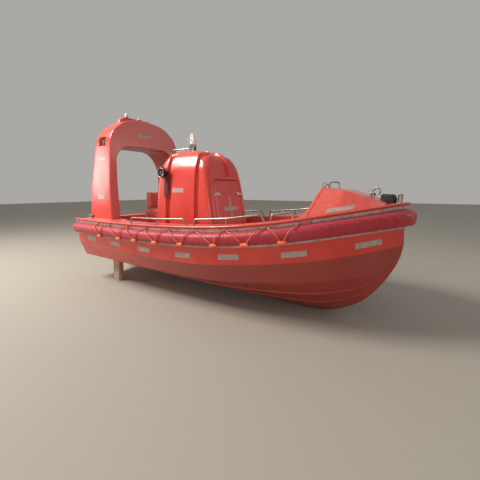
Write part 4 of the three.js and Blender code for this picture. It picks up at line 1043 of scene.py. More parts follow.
BLACK_PLASTIC = moulded("black_abs", "black_plastic", "#17171A", "#35353A", .38, 4)
RUBBER = moulded("black_rubber", "black_rubber", "#1B1A1B", "#3A3736", .70, 6, .3)
front = np.array([-.794, -.556, 1.925])
way = np.array([.05, .9987, 0])
lamp = [lathe(front, way, [(-.014, .070), (-.014, .080), (-.010, .082), (.006, .080), (.008, .075),
    (.045, .071), (.066, .062), (.080, .046), (.086, .020), (.087, 0)], 40),
    lathe(front, way, [(-.014, .070), (-.006, .068), (-.004, .060)], 40)]
yoke_x = -.792
yoke = bent([(yoke_x, -.542, 2.010), (yoke_x, -.530, 2.012), (yoke_x, -.440, 2.000), (yoke_x, -.425, 1.925),
    (yoke_x, -.440, 1.850), (yoke_x, -.530, 1.838), (yoke_x, -.542, 1.840)], .02)
lamp += [tube(yoke, .006, 10, (1, 0, 0)),
    *[rod((yoke_x, -.535, a), (yoke_x, -.535, b), .010) for a, b in ((2.006, 1.990), (1.844, 1.860))],
    lathe((yoke_x, -.475, 1.925), (0, 1, 0), [(0, .012), (.02, .030), (.045, .030), (.045, 0)], 24)]
build("searchlight", lamp, BLACK_PLASTIC, stands_for=["searchlight"])
GLASS, tree = start_finish("domed_lamp_glass", "lamp_white", Roughness=.04, Coat_Weight=1.0,
    Coat_Roughness=.02)
ribs = add_node(tree, "ShaderNodeTexWave", {"Scale": 55.0, "Distortion": .4}, bands_direction="Y")
surface(tree, Base_Color=tint(tree, ribs.outputs["Fac"], "#9FA8AC", "#DDE2E2"))
REFLECTOR = metal("soiled_silvered_bowl", "lamp_white", ("#8A8280", "#5E5656"), .16)
build("searchlight_bowl", [lathe(front, way,
    [(-.005, .068), (.014, .060), (.030, .046), (.040, .028), (.044, .010), (.044, 0)], 40)], REFLECTOR)
build("searchlight_rim", [torus(front - .013 * way, way, .0735, .0045, 48, 10)], STAINLESS)


def webbing(name, slot, base, dusty):
    """Woven polyester webbing: ribs across it every 3 mm, with a soft sheen and dust in the weave."""
    m, tree = start_finish(name, slot, Sheen_Weight=.05, Sheen_Roughness=.5, Roughness=.75)
    surface(tree, Base_Color=tint(tree, blotch(tree, 30, 0, .7, detail=4), base, dusty))
    ribs = add_node(tree, "ShaderNodeTexWave", {"Scale": 105.0, "Distortion": .3}, bands_direction="Z")
    relief(tree, ribs.outputs["Fac"], .5)
    return m


WEBBING = webbing("browned_webbing", "black_rubber", "#451819", "#63302E")
STRAP_X, STRAP_TOP, STRAP_END = -.766, 1.960, 1.500
height = np.linspace(STRAP_TOP, STRAP_END, 34)
half = np.interp(height, [STRAP_END, 1.560, 1.700, 1.838], [.018, .036, .044, .044])
half *= np.sqrt(np.clip((height - STRAP_END + .001) / .020, .1, 1))
wall = np.where(height < 1.5, .500 - (height - .634) * .01386, .488 - (height - 1.5) * .0825)
outside = -wall - .008 - .006 * np.sin((height - STRAP_END) / (STRAP_TOP - STRAP_END) * math.pi)
front_face = np.stack([np.column_stack([STRAP_X + half * b, outside - .003 * (1 - b * b), height])
    for b in np.linspace(-1, 1, 9)], 1)
back_face = front_face[:, ::-1] + [0, .005, 0]
build("searchlight_strap", [grid(np.concatenate([front_face, back_face], 1), ring=True, ends=True)], WEBBING,
      crease=50, stands_for=["searchlight_strap"])

# ---- arch lamps
# A white all-round lamp on the housing, a moulded aerial seat beside it, and a green and a red
# lantern in the niches of the legs.
LAMP_WHITE = moulded("white_lamp_plastic", "lamp_white", "#E9E6DE", "#C9C2B6", .30, 5, .08, Coat_Weight=.3)
LAMP_FOOT = (-2.110, -.215, 3.0303)
build("arch_lamp", [lathe(LAMP_FOOT, (0, 0, 1),
    [(.016, 0), (.016, .025), (.022, .029), (.030, .0315), (.044, .0325), (.062, .032), (.076, .028),
    (.086, .019), (.0935, 0)], 32)], LAMP_WHITE, stands_for=["arch_lamp"])
build("arch_lamp_base", [lathe(LAMP_FOOT, (0, 0, 1),
    [(0, 0), (0, .036), (.010, .036), (.018, .031), (.018, 0)], 32)], BLACK_PLASTIC)
build("aerial_seat", [lathe((-2.05, .03, 3.031), (0, 0, 1),
    [(0, 0), (0, .030), (.008, .030), (.012, .026), (.020, .018), (.026, .015), (.030, 0)], 24)], LAMP_WHITE)
for (name, k), colour, light, dark in zip(SIDES, ("green", "red"), ("#1C5234", "#8C1A20"),
        ("#0C2E1C", "#560C12")):
    lens, tree = start_finish(colour + "_polycarbonate_lens", "lens_" + colour, Roughness=.08,
        Coat_Weight=1.0, Coat_Roughness=.03, Transmission_Weight=.25, IOR=1.58)
    ribs = add_node(tree, "ShaderNodeTexWave", {"Scale": 60.0, "Distortion": 0.0},
        bands_direction="Z").outputs["Fac"]
    surface(tree, Base_Color=tint(tree, ribs, dark, light))
    relief(tree, ribs, .6)
    y = sorted((k * .7223, k * .733))
    build("nav_lamp_back_" + name, [soft_block((-2.085, -1.975), y, (2.455, 2.543), .012, .003)],
        BLACK_PLASTIC)
    a = np.linspace(-math.pi / 2, math.pi / 2, 15)
    rings = [at_height(np.column_stack([-2.030 + .046 * s * np.sin(a), k * (.731 + .035 * s * np.cos(a))]), z)
        for z, s in ((2.462, .90), (2.464, 1), (2.534, 1), (2.536, .90))]
    build("nav_lamp_" + name, [grid(np.stack(rings), ring=True, ends=True)], lens,
          stands_for=["nav_light_" + name])

# ---- helm
# A black dash with three gauges on the casing's after face, a rubber-rimmed wheel and a single
# engine lever.
DASH_FOOT, DASH_TOP = (-1.072, 1.290), (-1.006, 1.600)       # x, z of its leaning face
dash = slab([DASH_FOOT, (-.985, 1.262), (-.985, 1.612), DASH_TOP], -.330, .330, .014, .004)
run, rise = np.subtract(DASH_TOP, DASH_FOOT)
dash_out, dash_up = unit(np.array([-rise, 0, -run])), unit(np.array([run, 0, rise]))


def on_dash(y, high):
    """A point of the dash's face at y, so far up from its foot."""
    return np.array([DASH_FOOT[0], y, DASH_FOOT[1]]) + dash_up * high


gauges, glass = [], []
for y, high, r in ((-.20, .215, .042), (.04, .255, .036), (.13, .255, .036), (-.08, .255, .030)):
    bezel = [(-.010, 0), (-.010, r), (.008, r), (.010, r - .003), (.010, r - .007), (.005, r - .009)]
    gauges.append(lathe(on_dash(y, high), dash_out, bezel, 32))
    glass.append(lathe(on_dash(y, high), dash_out, [(.005, r - .009), (.006, r * .4), (.0062, 0)], 32))
switch = [(-.004, 0), (-.004, .010), (.004, .010), (.006, .006), (.018, .004), (.020, 0)]
gauges += [lathe(on_dash(-.255 + .034 * k, .10), dash_out, switch, 16) for k in range(6)]
hub = np.array([-1.105, 0, 1.400])
axis = np.array([-math.cos(.35), 0, math.sin(.35)])
gauges += [lathe(hub - axis * .060, axis, [(-.02, 0), (-.02, .034), (.02, .030), (.045, .026), (.046, 0)],
    28)]
build("helm_dash", [dash] + gauges, BLACK_PLASTIC, crease=40, stands_for=["helm_panel"])
build("gauge_glasses", glass, GLASS)
build("steering_shaft", [rod(hub - axis * .060, hub + axis * .010, .0105)], STAINLESS)
upward = unit(np.cross(axis, (0, 1, 0)))
spokes = []
for a in (-.45, math.pi + .45, math.pi / 2):
    end = hub + .148 * (math.cos(a) * np.array([0, 1, 0]) + math.sin(a) * upward)
    path = np.array([hub + (end - hub) * s - axis * .012 * math.sin(math.pi * s)
        for s in np.linspace(.12, 1, 10)])
    spokes.append(tube(path, .0085, 12, axis, np.linspace(1.25, .85, 10)))
wheel_hub = [(-.0115, .0115), (-.012, .030), (.004, .034), (.012, .030), (.014, .012), (.0105, .0115)]
build("wheel_rim", [torus(hub, axis, .150, .0135, 56, 16)], RUBBER, "wheel_body",
    stands_for=["steering_wheel"])
build("wheel_spokes", spokes + [lathe(hub, axis, wheel_hub, 32)], BLACK_PLASTIC, "wheel_body")
build("throttle", [soft_block((-1.084, -1.004), (.202, .260), (1.402, 1.468), .014, .010, both=True),
    lathe((-1.080, .200, 1.440), (0, 1, 0),
    [(-.006, 0), (-.006, .018), (.004, .020), (.058, .020), (.066, .018), (.066, 0)], 24),
    tube(bent([(-1.080, .231, 1.446), (-1.088, .231, 1.50), (-1.110, .231, 1.556)], .03), .0075, 12),
    lathe((-1.110, .231, 1.545), (0, 0, 1),
    [(0, .008), (.006, .015), (.020, .0205), (.032, .017), (.039, .008), (.040, 0)], 24),], BLACK_PLASTIC,
    stands_for=["throttle"])

# ---- helmsman's seat
# A glass-fibre pedestal with a foam cushion and a padded back in orange-red coated vinyl, piped at
# the seams.
build("seat_pedestal", [soft_block((-1.635, -1.215), (-.250, .250), (SOLE + .0003, 1.190), .060, .014)],
    ORANGE, crease=50, stands_for=["seat_box"])


def vinyl(name, slot, base, worn):
    """Coated upholstery vinyl: a pebbled leather grain of 3 mm, drawn at 5, with a slight sheen."""
    m, tree = start_finish(name, slot, Coat_Weight=.15, Coat_Roughness=.35, Sheen_Weight=.08)
    surface(tree, Base_Color=tint(tree, blotch(tree, 90, -.2, .9, detail=4), base, worn),
            Roughness=blotch(tree, 50, .40, .58))
    pebble = add_node(tree, "ShaderNodeTexVoronoi", {"Vector": here(tree), "Scale": 200.0},
        feature="SMOOTH_F1")
    relief(tree, pebble.outputs["Distance"], .8)
    return m


VINYL = vinyl("orange_red_upholstery_vinyl", "seat_vinyl", "#DE5C52", "#E5847A")


PUFF, PUFF_MOST, PUFF_FRAMES = 4, .014, 20     # pressure, metres and frames of the swelling


def co(mesh):
    """A mesh's points as an array."""
    flat = np.zeros(len(mesh.vertices) * 3)
    mesh.vertices.foreach_get("co", flat)
    return flat.reshape(-1, 3)


def pad(name, x, y, z, r, edge):
    """A foam pad: a block with round corners and edges, drawn in by 6 mm, swelled by the cloth solver
    with pressure and no gravity for 20 frames, each point held within 14 mm of where it began."""
    core = soft_block((x[0] + .006, x[1] - .006), (y[0] + .006, y[1] - .006), (z[0] + .001, z[1] - .006), r,
        edge, both=True)
    piece = build(name, [core], VINYL, crease=80)
    remesh = piece.modifiers.new("even", "REMESH")
    remesh.mode, remesh.voxel_size = "VOXEL", .008
    mesh = applied(piece)
    piece.modifiers.clear()
    piece.data = mesh
    before = co(mesh)
    cloth = piece.modifiers.new("swell", "CLOTH")
    cloth.settings.use_pressure = True
    cloth.settings.uniform_pressure_force = PUFF
    cloth.settings.effector_weights.gravity = 0
    for frame_number in range(1, PUFF_FRAMES + 1):
        bpy.context.scene.frame_set(frame_number)
    swelled = applied(piece)
    move = co(swelled) - before
    far = np.linalg.norm(move, axis=1, keepdims=True)
    placed = before + move * np.minimum(1, PUFF_MOST / np.maximum(far, 1e-9))
    placed[:, 2] = np.maximum(placed[:, 2], z[0] + .0004)
    piece.modifiers.clear()
    mesh.vertices.foreach_set("co", placed.ravel())
    bpy.data.meshes.remove(swelled)
    bpy.context.scene.frame_set(1)
    mesh.shade_smooth()
    level = piece.modifiers.new("smooth", "SUBSURF")
    level.levels = level.render_levels = 1
    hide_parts(name)


pad("seat_cushion", (-1.635, -1.215), (-.250, .250), (1.1903, 1.285), .055, .020)
pad("seat_back", (-1.622, -1.517), (-.225, .225), (1.2853, 1.612), .038, .026)
piping = corner_ring((-1.631, -1.219), (-.246, .246), 1.197, .055)
build("cushion_piping", [tube(np.vstack([piping, piping[:1]]), .0035, 8, (0, 0, 1), ends=False)], VINYL)

# ---- foredeck locker and its door
# A faceted glass-fibre turtle deck over the forepeak, bedded on the deck, with soft edges where the
# mould's flats meet, and a door in its after face.
LOCKER = np.array([[1.722, .090, .250, 0], [1.785, .086, .200, 1.672], [2.110, .060, .300, 1.640],
    [2.330, .052, .250, 1.572], [2.560, .040, .150, 0]])     # x, inset from the sheer, top half, top z
LOCKER_WALL = .007
DOOR = {"half": .250, "low": 1.395, "high": 1.610, "r": .022, "t": .022}
AFT_FACE = (1.722, 1.3365, .1878, -1)      # x at z, run per rise, and the way that it faces

place = np.concatenate([np.linspace(a, b, n, endpoint=False) for a, b, n in zip(
    LOCKER[:-1, 0], LOCKER[1:, 0], (3, 9, 7, 9))] + [[LOCKER[-1, 0]]])
sheer_y, sheer_z = at_sheer(place)
inset, top_half = (np.interp(place, LOCKER[:, 0], LOCKER[:, k]) for k in (1, 2))
foot = np.maximum(.030, sheer_y - inset)
tops = LOCKER[:, 3].copy()
tops[[0, -1]] = at_sheer(LOCKER[[0, -1], 0])[1] + .040
top_z = np.interp(place, LOCKER[:, 0], tops)
top_half = np.minimum(top_half, foot - .010)
outline = [(foot, sheer_z - .012), (foot, sheer_z + .020), (top_half, top_z)]
flats = [np.column_stack([place, -w, z]) for w, z in outline] + [np.column_stack([place, w, z])
    for w, z in outline[::-1]]
mids, ridge_at = [], []
for low, high, shares in zip(flats, flats[1:], ((0, .5), *[(0, .25, .5, .75)] * 3, (0, .5))):
    ridge_at.append(len(mids))
    mids += [mix(low, high, share) for share in shares]
mids.append(flats[-1])
locker_rows = rounded(np.stack(mids, 1), [.028 if k in ridge_at[1:] else 0 for k in range(len(mids))],
    steps=4)
turned = locker_rows.transpose(1, 0, 2)
corner_of = [k for k, x in enumerate(place) if any(abs(x - v) < 1e-6 for v in LOCKER[1:-1, 0])]
turned = rounded(turned, [.024 if k in corner_of else 0 for k in range(turned.shape[1])], steps=4)
locker_rows = turned.transpose(1, 0, 2)
centre_line = locker_rows[[0, -1]].mean(1, keepdims=True)
aft_cap = np.stack([mix(locker_rows[0], centre_line[0], share) for share in (0, .5, 1)])
fwd_cap = np.stack([locker_rows[-1], centre_line[1] + 0 * locker_rows[-1]])
locker_box = build("foredeck_locker", [grid(locker_rows), grid(aft_cap), grid(fwd_cap)], ORANGE, crease=60,
    stands_for=["foredeck_locker"])

# Raised seam round the after end, where the mould's two halves met.
seam_row = locker_rows[int(np.argmin(np.abs(locker_rows[:, 0, 0] - 1.812)))]
build("locker_seam", [tube(seam_row[1:-1], .0065, 10, (1, 0, 0))], ORANGE)

d = DOOR
opening = slope_rings(AFT_FACE, d["half"], d["low"], d["high"], d["r"], [(0, -.05), (0, .02)])
cut(locker_box, [grid(opening, ring=True, ends=True)])
add_wall(locker_box, LOCKER_WALL)
rim = slope_rings(AFT_FACE, d["half"], d["low"], d["high"], d["r"],
    [(.020, -.004), (.018, .004), (.012, .006), (.004, .006), (.001, .003), (.001, -.032), (.008, -.032),
    (.010, -.006)])
build("locker_door_coaming", [grid(rim, wrap=True, ring=True)], ORANGE, crease=60)
LID_X, LID_Z, LID_Y = 1.758, 1.614, (-.15, .15)         # the door's hinge axis, and its two hinges
build("locker_hinge_lugs", [soft_block((LID_X - .006, LID_X + .040), sorted((y + k * .030, y + k * .040)),
    (LID_Z - .007, LID_Z + .012), .003, .002) for y in LID_Y for k in (-1, 1)]
    + [rod((LID_X, y - .042, LID_Z), (LID_X, y + .042, LID_Z), .004) for y in LID_Y], STAINLESS)
door_profile = [(-.10, -d["t"]), (-.001, -d["t"]), (0, -.018), (0, -.004), (-.0012, -.0012), (-.004, 0),
    (-.030, 0), (-.034, -.002), (-.038, -.005), (-.044, -.005), (-.048, -.002), (-.052, 0), (-.09, 0)]
door = slope_rings(AFT_FACE, d["half"] - RUN, d["low"] + RUN, d["high"] - RUN, .018, door_profile, least=.006)
y = .9 * corner_ring((-.150, .150), (1.5, 1.51), 0, .004, 8)[:, 0]
spine, spine_back = (on_slope(AFT_FACE, y, 0 * y + 1.5025, proud)[None] for proud in (0, -d["t"]))
build("foredeck_door", [grid(np.concatenate([spine_back, door, spine]), ring=True)], ORANGE, "door_body",
      crease=50, stands_for=["foredeck_door"])
leaves = []
for y in LID_Y:
    leaves += [rod((LID_X, y - .028, LID_Z), (LID_X, y + .028, LID_Z), .009),
        soft_block((LID_X - .011, LID_X + .004), (y - .026, y + .026), (LID_Z - .058, LID_Z - .004), .003,
        .002)]
latch = on_slope(AFT_FACE, np.array([0.0]), np.array([1.425]), np.array([.004]))[0]
leaves += [lathe(latch, (-1, 0, .18), [(-.002, 0), (-.002, .018), (.004, .018), (.006, .014), (.012, .010),
    (.014, 0)], 24), rod(latch + [-.011, -.028, 0], latch + [-.011, .028, 0], .005)]
build("door_hinge_and_latch", leaves, STAINLESS, "door_body")

# ---- foredeck fittings
# A small handrail and a cleat on the locker's top, the painter release with its ring, a black
# drogue bag lashed beside it, and a stainless bollard on the stem.
build("foredeck_rail", [tube(bent([(1.815, .060, 1.655), (1.815, .060, 1.748), (1.945, .060, 1.742),
    (1.945, .060, 1.640)], .028), .010), flange(1.815, .060, 1.667, .022), flange(1.945, .060, 1.655, .022)],
    STAINLESS, stands_for=["foredeck_rail"])
build("foredeck_cleat", [soft_block((1.800, 1.844), (-.062, .002), (1.655, 1.676), .012, .003),
    lathe((1.822, -.030, 1.670), (0, 0, 1), [(0, .020), (.010, .013), (.024, .011), (.034, .013), (.036, 0)],
    24), tube(np.array([(1.782, -.030, 1.708), (1.797, -.030, 1.706), (1.822, -.030, 1.704),
    (1.847, -.030, 1.706), (1.862, -.030, 1.708)]), .009, 14, taper=[.55, .85, 1.1, .85, .55])], STAINLESS,
    stands_for=["foredeck_cleat"])


def laid_rope(name, slot, base, worn, groove, strand):
    """Three-strand rope: strands show as slanting ridges, read from the tube's own map, u round it
    and v along it in metres, one strand every strand metres."""
    m, tree = start_finish(name, slot, Sheen_Weight=.2, Sheen_Roughness=.5, Roughness=.7)
    uv = add_node(tree, "ShaderNodeSeparateXYZ",
        {0: add_node(tree, "ShaderNodeUVMap", uv_map="lay").outputs["UV"]})
    turns = sums(tree, "MULTIPLY_ADD", uv.outputs["Y"], 1 / strand, uv.outputs["X"])
    ridge = remap(tree, sums(tree, "SINE", sums(tree, "MULTIPLY", turns, 2 * math.pi)), -1.0, 1.0)
    strands = tint(tree, blotch(tree, 60, -.2, .8, detail=4), base, worn)
    surface(tree, Base_Color=tint(tree, ridge, groove, strands))
    relief(tree, ridge, 1.2)
    return m


def rope_piece(name, path, reference, r, finish, stands_for=(), sides=10):
    """A round tube on the boat with a map, its u the share of the way round, its v metres along."""
    form = tube(path, r, sides, reference)
    run = distances(path)
    lay = []
    for face in form[1]:
        around = [i % sides for i in face]
        wraps = max(around) - min(around) > 1
        for u, i in zip(around, face):
            u += sides if wraps and u == 0 else 0
            lay.append((u / sides, run[i // sides]) if len(face) == 4 else (0, 0))
    piece = place_mesh(name, [form])
    piece.data.uv_layers.new(name="lay").data.foreach_set("uv", np.array(lay, float).ravel())
    piece.data.shade_smooth()
    enter(piece, "boat", finish, stands_for)


BLACK_ROPE = laid_rope("black_laid_rope", "black_rubber", "#1E1D1F", "#3B3835", "#0C0C0D", .012)
a = np.linspace(0, 2 * math.pi, 61)
loop_out = .031 * (1 + .10 * np.sin(2 * a + .6))
becket = np.column_stack([1.776 + loop_out * np.cos(a), -.030 - .012 * np.cos(a),
    1.708 + loop_out * np.sin(a)])
rope_piece("cleat_becket", becket, (.3, .95, 0), .0032, BLACK_ROPE, sides=8)

RING_AXIS = (.3, .95, 0)
cheek = [(2.348, 1.566), (2.398, 1.556), (2.396, 1.600), (2.384, 1.616), (2.362, 1.616), (2.350, 1.604)]
release = [soft_block((2.340, 2.404), (-.046, .046), (1.560, 1.578), .010, .003),
    slab(cheek, -.038, -.026, .008), slab(cheek, .026, .038, .008),
    rod((2.372, -.060, 1.600), (2.372, .060, 1.600), .011),
    torus((2.425, 0, 1.625), RING_AXIS, .041, .0095, 48, 14),
    torus((2.348, 0, 1.630), RING_AXIS, .018, .0065, 32, 12),
    tube(bent([(2.372, 0, 1.597), (2.386, .002, 1.606), (2.392, .004, 1.614)], .006), .009, 12)]
for k in (-1, 1):
    release.append(lathe((2.372, k * .055, 1.600), (0, k, 0),
        [(0, 0), (0, .018), (.008, .018), (.010, .014), (.010, 0)], 6))
build("painter_release", release, STAINLESS, stands_for=["painter_release"])

BAG = webbing("black_bag_cloth", "bag_fabric", "#191A1C", "#3E3B38")
around = np.linspace(0, 2 * math.pi, 41)[:-1][None]
along = np.linspace(0, 1, 34)[:, None]
outline = np.array([[2.462, 1.488], [2.640, 1.478], [2.652, 1.536], [2.612, 1.594], [2.474, 1.590]])
bag_shape = rounded(outline[None], [.020, .016, .024, .016, .020], steps=9, closed=True)[0]
bag_shape = spread(np.vstack([bag_shape, bag_shape[:1]]), 41)[:-1]
bag_middle = bag_shape.mean(0)
ends_in = np.sqrt(np.clip(1 - np.abs(2 * along - 1)**6, 0, 1))
gather = 1 + .022 * np.sin(9 * around + 5 * along) * np.abs(2 * along - 1)**1.5 + .014 * np.sin(5 * around
    - 11 * along)
size = (.22 + .74 * ends_in) * gather
bag_y = -.062 + .164 * along
bag = np.stack([bag_middle[0] + (bag_shape[None, :, 0] - bag_middle[0]) * size, bag_y + 0 * size,
    bag_middle[1] + (bag_shape[None, :, 1] - bag_middle[1]) * size - .004 * np.cos(3 * around) * ends_in], -1)
bag = build("drogue_bag", [grid(bag, ring=True, ends=True)], BAG, crease=70, stands_for=["drogue_bag"])
straps = []
for y in (-.018, .058):
    s = np.interp(y, bag_y[:, 0], ends_in[:, 0])
    loop_in = bag_middle + (bag_shape - bag_middle) * (.22 + .74 * s) * 1.028
    rings = np.stack([np.column_stack([loop_in[:, 0], np.full(40, y + w), loop_in[:, 1]])
        for w in (0, .001, .021, .022)])
    lift = np.array([.99, 1.006, 1.006, .99])[:, None, None]
    centre = np.array([bag_middle[0], 0, bag_middle[1]])
    straps.append(grid(centre * [1, 0, 1] * (1 - lift) + rings * np.concatenate([lift, 1 + 0 * lift, lift],
        -1), ring=True))
build("bag_straps", straps, BAG)
BOLLARD_X = 2.688
build("bow_bollard", [lathe((BOLLARD_X, 0, 1.478), (0, 0, 1),
    [(0, 0), (0, .038), (.010, .038), (.014, .028), (.018, .026), (.100, .026), (.108, .0275), (.111, .026),
    (.112, .020), (.112, 0)], 36), rod((BOLLARD_X, -.045, 1.548), (BOLLARD_X, .045, 1.548), .007)], STAINLESS,
    stands_for=["bow_bollard"])
build("bollard_plate", [soft_block((BOLLARD_X - .046, BOLLARD_X + .036), (-.034, .034), (1.482, 1.496), .010,
    .003)], STAINLESS)

# ---- gunwale rails
# Bent stainless handrails along both side decks, each on turned feet.
GUNWALE_RAILS = ((-.936, .241), (.367, 1.399), (1.464, 1.710))
RAIL_RISE, RAIL_IN = .1023, .042

for side, k in SIDES:
    for n, (a, b) in enumerate(GUNWALE_RAILS):
        middle = [(a + b) / 2] if b - a > .4 else []
        stops = [(a, 0), (a + .008, RAIL_RISE), *[(x, RAIL_RISE) for x in middle],
            (b - min(.060, (b - a) / 6), RAIL_RISE), (b, 0)]
        path, parts = [], []
        for j, (x, rise) in enumerate(stops):
            y, z = at_sheer(a if j < 2 else b if j > len(stops) - 3 else x)
            path.append((x, k * (y - RAIL_IN), z + (rise or .002)))
        for x in (a, b, *middle):
            y, z = at_sheer(x)
            parts.append(flange(x, k * (y - RAIL_IN), z + DECK_T, .024))
            if x in middle:
                parts.append(rod((x, k * (y - RAIL_IN), z + .002), (x, k * (y - RAIL_IN), z + RAIL_RISE),
                    .011))
        name = "gunwale_rail_" + side + "_" + str(n + 1)
        build(name, [tube(bent(path, .030), .0125), *parts], STAINLESS, stands_for=[name])

# ---- grab lines
# An orange three-strand line hangs down each side in eight bights between nine eyes on the upper
# strip, with a moulded float in the bottom of each bight and a tenth eye at its forward end.
GRAB_TOPS = np.array([-1.762, -1.434, -.942, -.525, -.037, .449, .917, 1.440, 1.788])
GRAB_FLOATS = np.array([-1.526, -1.026, -.656, -.210, .277, .806, 1.207, 1.605])
GRAB_END = 1.905
ROPE_R, EYE_UP, FLOAT_ANGLE = .0075, -.040, -32
# From an eye down to a float: degrees round the fender's face, and how far off it the line lies
OVER = ((66, .015), (44, .018), (20, .017), (-5, .016), (FLOAT_ANGLE, .016))


def beside_edge(t, out_by, up_by):
    """Points a distance outward and upward of the sheer at t, on the port side."""
    s, up, out = edge_frame(np.atleast_1d(t))
    return s + out * np.reshape(out_by, (-1, 1)) + up * np.reshape(up_by, (-1, 1))


def over_fender(t, degrees, off):
    """Points off the fender's face by a stand-off, at an angle round it: the cover's own formula."""
    t, a = np.atleast_1d(t), np.radians(degrees)
    middle, high, depth = fender_size(curve_at(SHEER, t)[:, 0])
    return beside_edge(t, depth * math.cos(a)**.62 + off * math.cos(a),
        middle + (high + off) * math.copysign(abs(math.sin(a))**.8, a))


def smooth_path(stops, each=6):
    """A smooth line through points: chords by the square root of their length, so it doesn't overshoot."""
    p = np.asarray(stops, float)
    knots = np.concatenate([[0], np.cumsum(np.sqrt(np.diff(distances(p))))])
    slope = np.gradient(p, knots, axis=0)
    i = np.repeat(np.arange(len(p) - 1), each)
    w = np.tile(np.arange(each) / each, len(p) - 1)[:, None]
    gap = np.diff(knots)[i][:, None]
    a, b, m, n = p[i], p[i + 1], slope[i] * gap, slope[i + 1] * gap
    done = a + m * w + (3 * (b - a) - 2 * m - n) * w**2 + (2 * (a - b) + m + n) * w**3
    return np.vstack([done, p[-1:]])


ts = np.linspace(0, 1, 4001)
top_t, float_t, end_t = (np.interp(x, curve_at(SHEER, ts)[:, 0], ts)
    for x in (GRAB_TOPS, GRAB_FLOATS, GRAB_END))
stops, floats = [], []
for a, m, b in zip(top_t[:-1], float_t, top_t[1:]):
    stops.append(beside_edge(a, .017, EYE_UP)[0])
    path = [(a + (m - a) * (n + 1) / 5, deg, off) for n, (deg, off) in enumerate(OVER)]
    path += [(m + (b - m) * (n + 1) / 5, deg, off) for n, (deg, off) in enumerate(OVER[-2::-1])]
    stops += [over_fender(*q)[0] for q in path]
    reach = .05 * (b - a) / float(np.linalg.norm(np.diff(curve_at(SHEER, np.array([a, b])), axis=0)))
    floats.append([over_fender(m + e * reach, FLOAT_ANGLE, .024)[0] for e in (-1, 1)])
stops += [beside_edge(t, .017, EYE_UP)[0] for t in (top_t[-1], end_t)]
line = smooth_path(stops)
LINE = laid_rope("orange_laid_rope", "grab_line", "#E2614A", "#F0A592", "#B0402D", .022)
FLOAT = moulded("orange_float_foam", "grab_line", "#E8582C", "#EE8A62", .55, 7, .3)
for side, k in (("port", 1), ("starboard", -1)):
    mirror = np.array([1, k, 1])
    rope_piece("grab_line_" + side, line * mirror, (.02, .96 * k, .28), ROPE_R, LINE, ["grab_line_" + side])
    balls, eyes = [], []
    for a, b in floats:
        a, b = a * mirror, b * mirror
        profile = [(-.052, .007), (-.050, .014), (-.043, .0215), (-.026, .0260), (0, .0270), (.026, .0260),
            (.043, .0215), (.050, .014), (.052, .007)]
        balls.append(lathe((a + b) / 2, b - a, profile, 24))
    build("grab_line_floats_" + side, balls, FLOAT)
    for p in beside_edge(np.append(top_t, end_t), .010, EYE_UP):
        p = p * mirror
        outwards = unit(np.array([0, k, .1]))
        eyes += [lathe(p, outwards, [(-.002, 0), (-.002, .016), (.002, .016), (.004, .012), (.006, 0)], 16),
            torus(p + outwards * .009, (1, 0, 0), .011, .0032, 20, 8)]
    build("grab_line_eyes_" + side, eyes, STAINLESS)

# ---- engine
# An inboard diesel under the casing: a cast block and sump in grey-green engine enamel, with its
# rocker cover, flywheel housing, cooled exhaust, alternator and belt.
ENAMEL = painted("grey_green_engine_enamel", "engine_paint", "#5E6C66", "#4A5450", "#6E4B37", .42)
CASTING = metal("sand_cast_aluminium", "cast_alloy", ("#A9A7A2", "#8C8A86"), .45, .35)
block = [soft_block((-.700, -.160), (-.150, .150), (.520, .860), .030, .014, both=True),
    soft_block((-.640, -.220), (-.110, .110), (.332, .530), .040, .020, both=True),
    soft_block((-.690, -.170), (-.135, .135), (.862, .960), .020, .010, both=True),
    lathe((-.760, 0, .640), (1, 0, 0), [(0, 0), (0, .200), (.012, .206), (.050, .200), (.075, .170),
    (.075, 0)], 40)]
block += [soft_block((x, x + .014), (-.168, .168), (.545, .835), .004, .003)
    for x in np.linspace(-.655, -.205, 7)]
build("engine_block", block, ENAMEL, crease=40, stands_for=["engine"])
cover = [soft_block((-.680, -.180), (-.085, .085), (.958, 1.062), .030, .022),
    lathe((-.30, 0, 1.058), (0, 0, 1), [(0, 0), (0, .030), (.014, .030), (.018, .024), (.020, 0)], 20)]
cover += [lathe((x, y, .958), (0, 0, 1), [(0, .011), (.010, .011), (.013, .008), (.013, 0)], 6)
    for x in np.linspace(-.665, -.195, 6) for y in (-.105, .105)]
build("rocker_cover", cover, CASTING, crease=40)
pipes = [tube(bent([(-.66, .175, .90), (-.30, .175, .92), (-.12, .175, .92), (-.10, .175, .70),
    (-.10, .175, .60)], .06), .036, 18)]
for k in range(4):
    x = -.61 + .12 * k
    pipes.append(tube(bent([(x, .10, .91), (x, .150, .91), (x + .02, .175, .905)], .03), .022, 12, (1, 0, 0)))
build("exhaust_manifold", pipes, CASTING)
drive = [lathe((-.158, y, z), (1, 0, 0),
    [(0, 0), (0, r), (.008, r), (.013, r - .008), (.027, r - .008), (.032, r), (.040, r), (.040, r * .5),
    (.030, r * .45), (.030, 0)], 32) for y, z, r in ((0, .610, .085), (0, .800, .062), (-.175, .760, .040))]
drive.append(lathe((-.30, -.175, .760), (1, 0, 0),
    [(0, 0), (0, .050), (.010, .060), (.110, .060), (.120, .050), (.142, .02), (.142, 0)], 28))
build("engine_pulleys", drive, CASTING)
wraps = []
for centre, radius, a, b in (((0, .610), .079, -165, -12), ((0, .800), .056, -12, 118),
        ((-.175, .760), .034, 118, 195)):
    angle = np.radians(np.linspace(a, b, 14))
    wraps.append(np.column_stack([0 * angle, centre[0] + radius * np.cos(angle),
        centre[1] + radius * np.sin(angle)]))
belt = np.vstack(wraps)
outwards = unit(np.column_stack([0 * belt[:, 0], np.gradient(belt[:, 2]), -np.gradient(belt[:, 1])]))
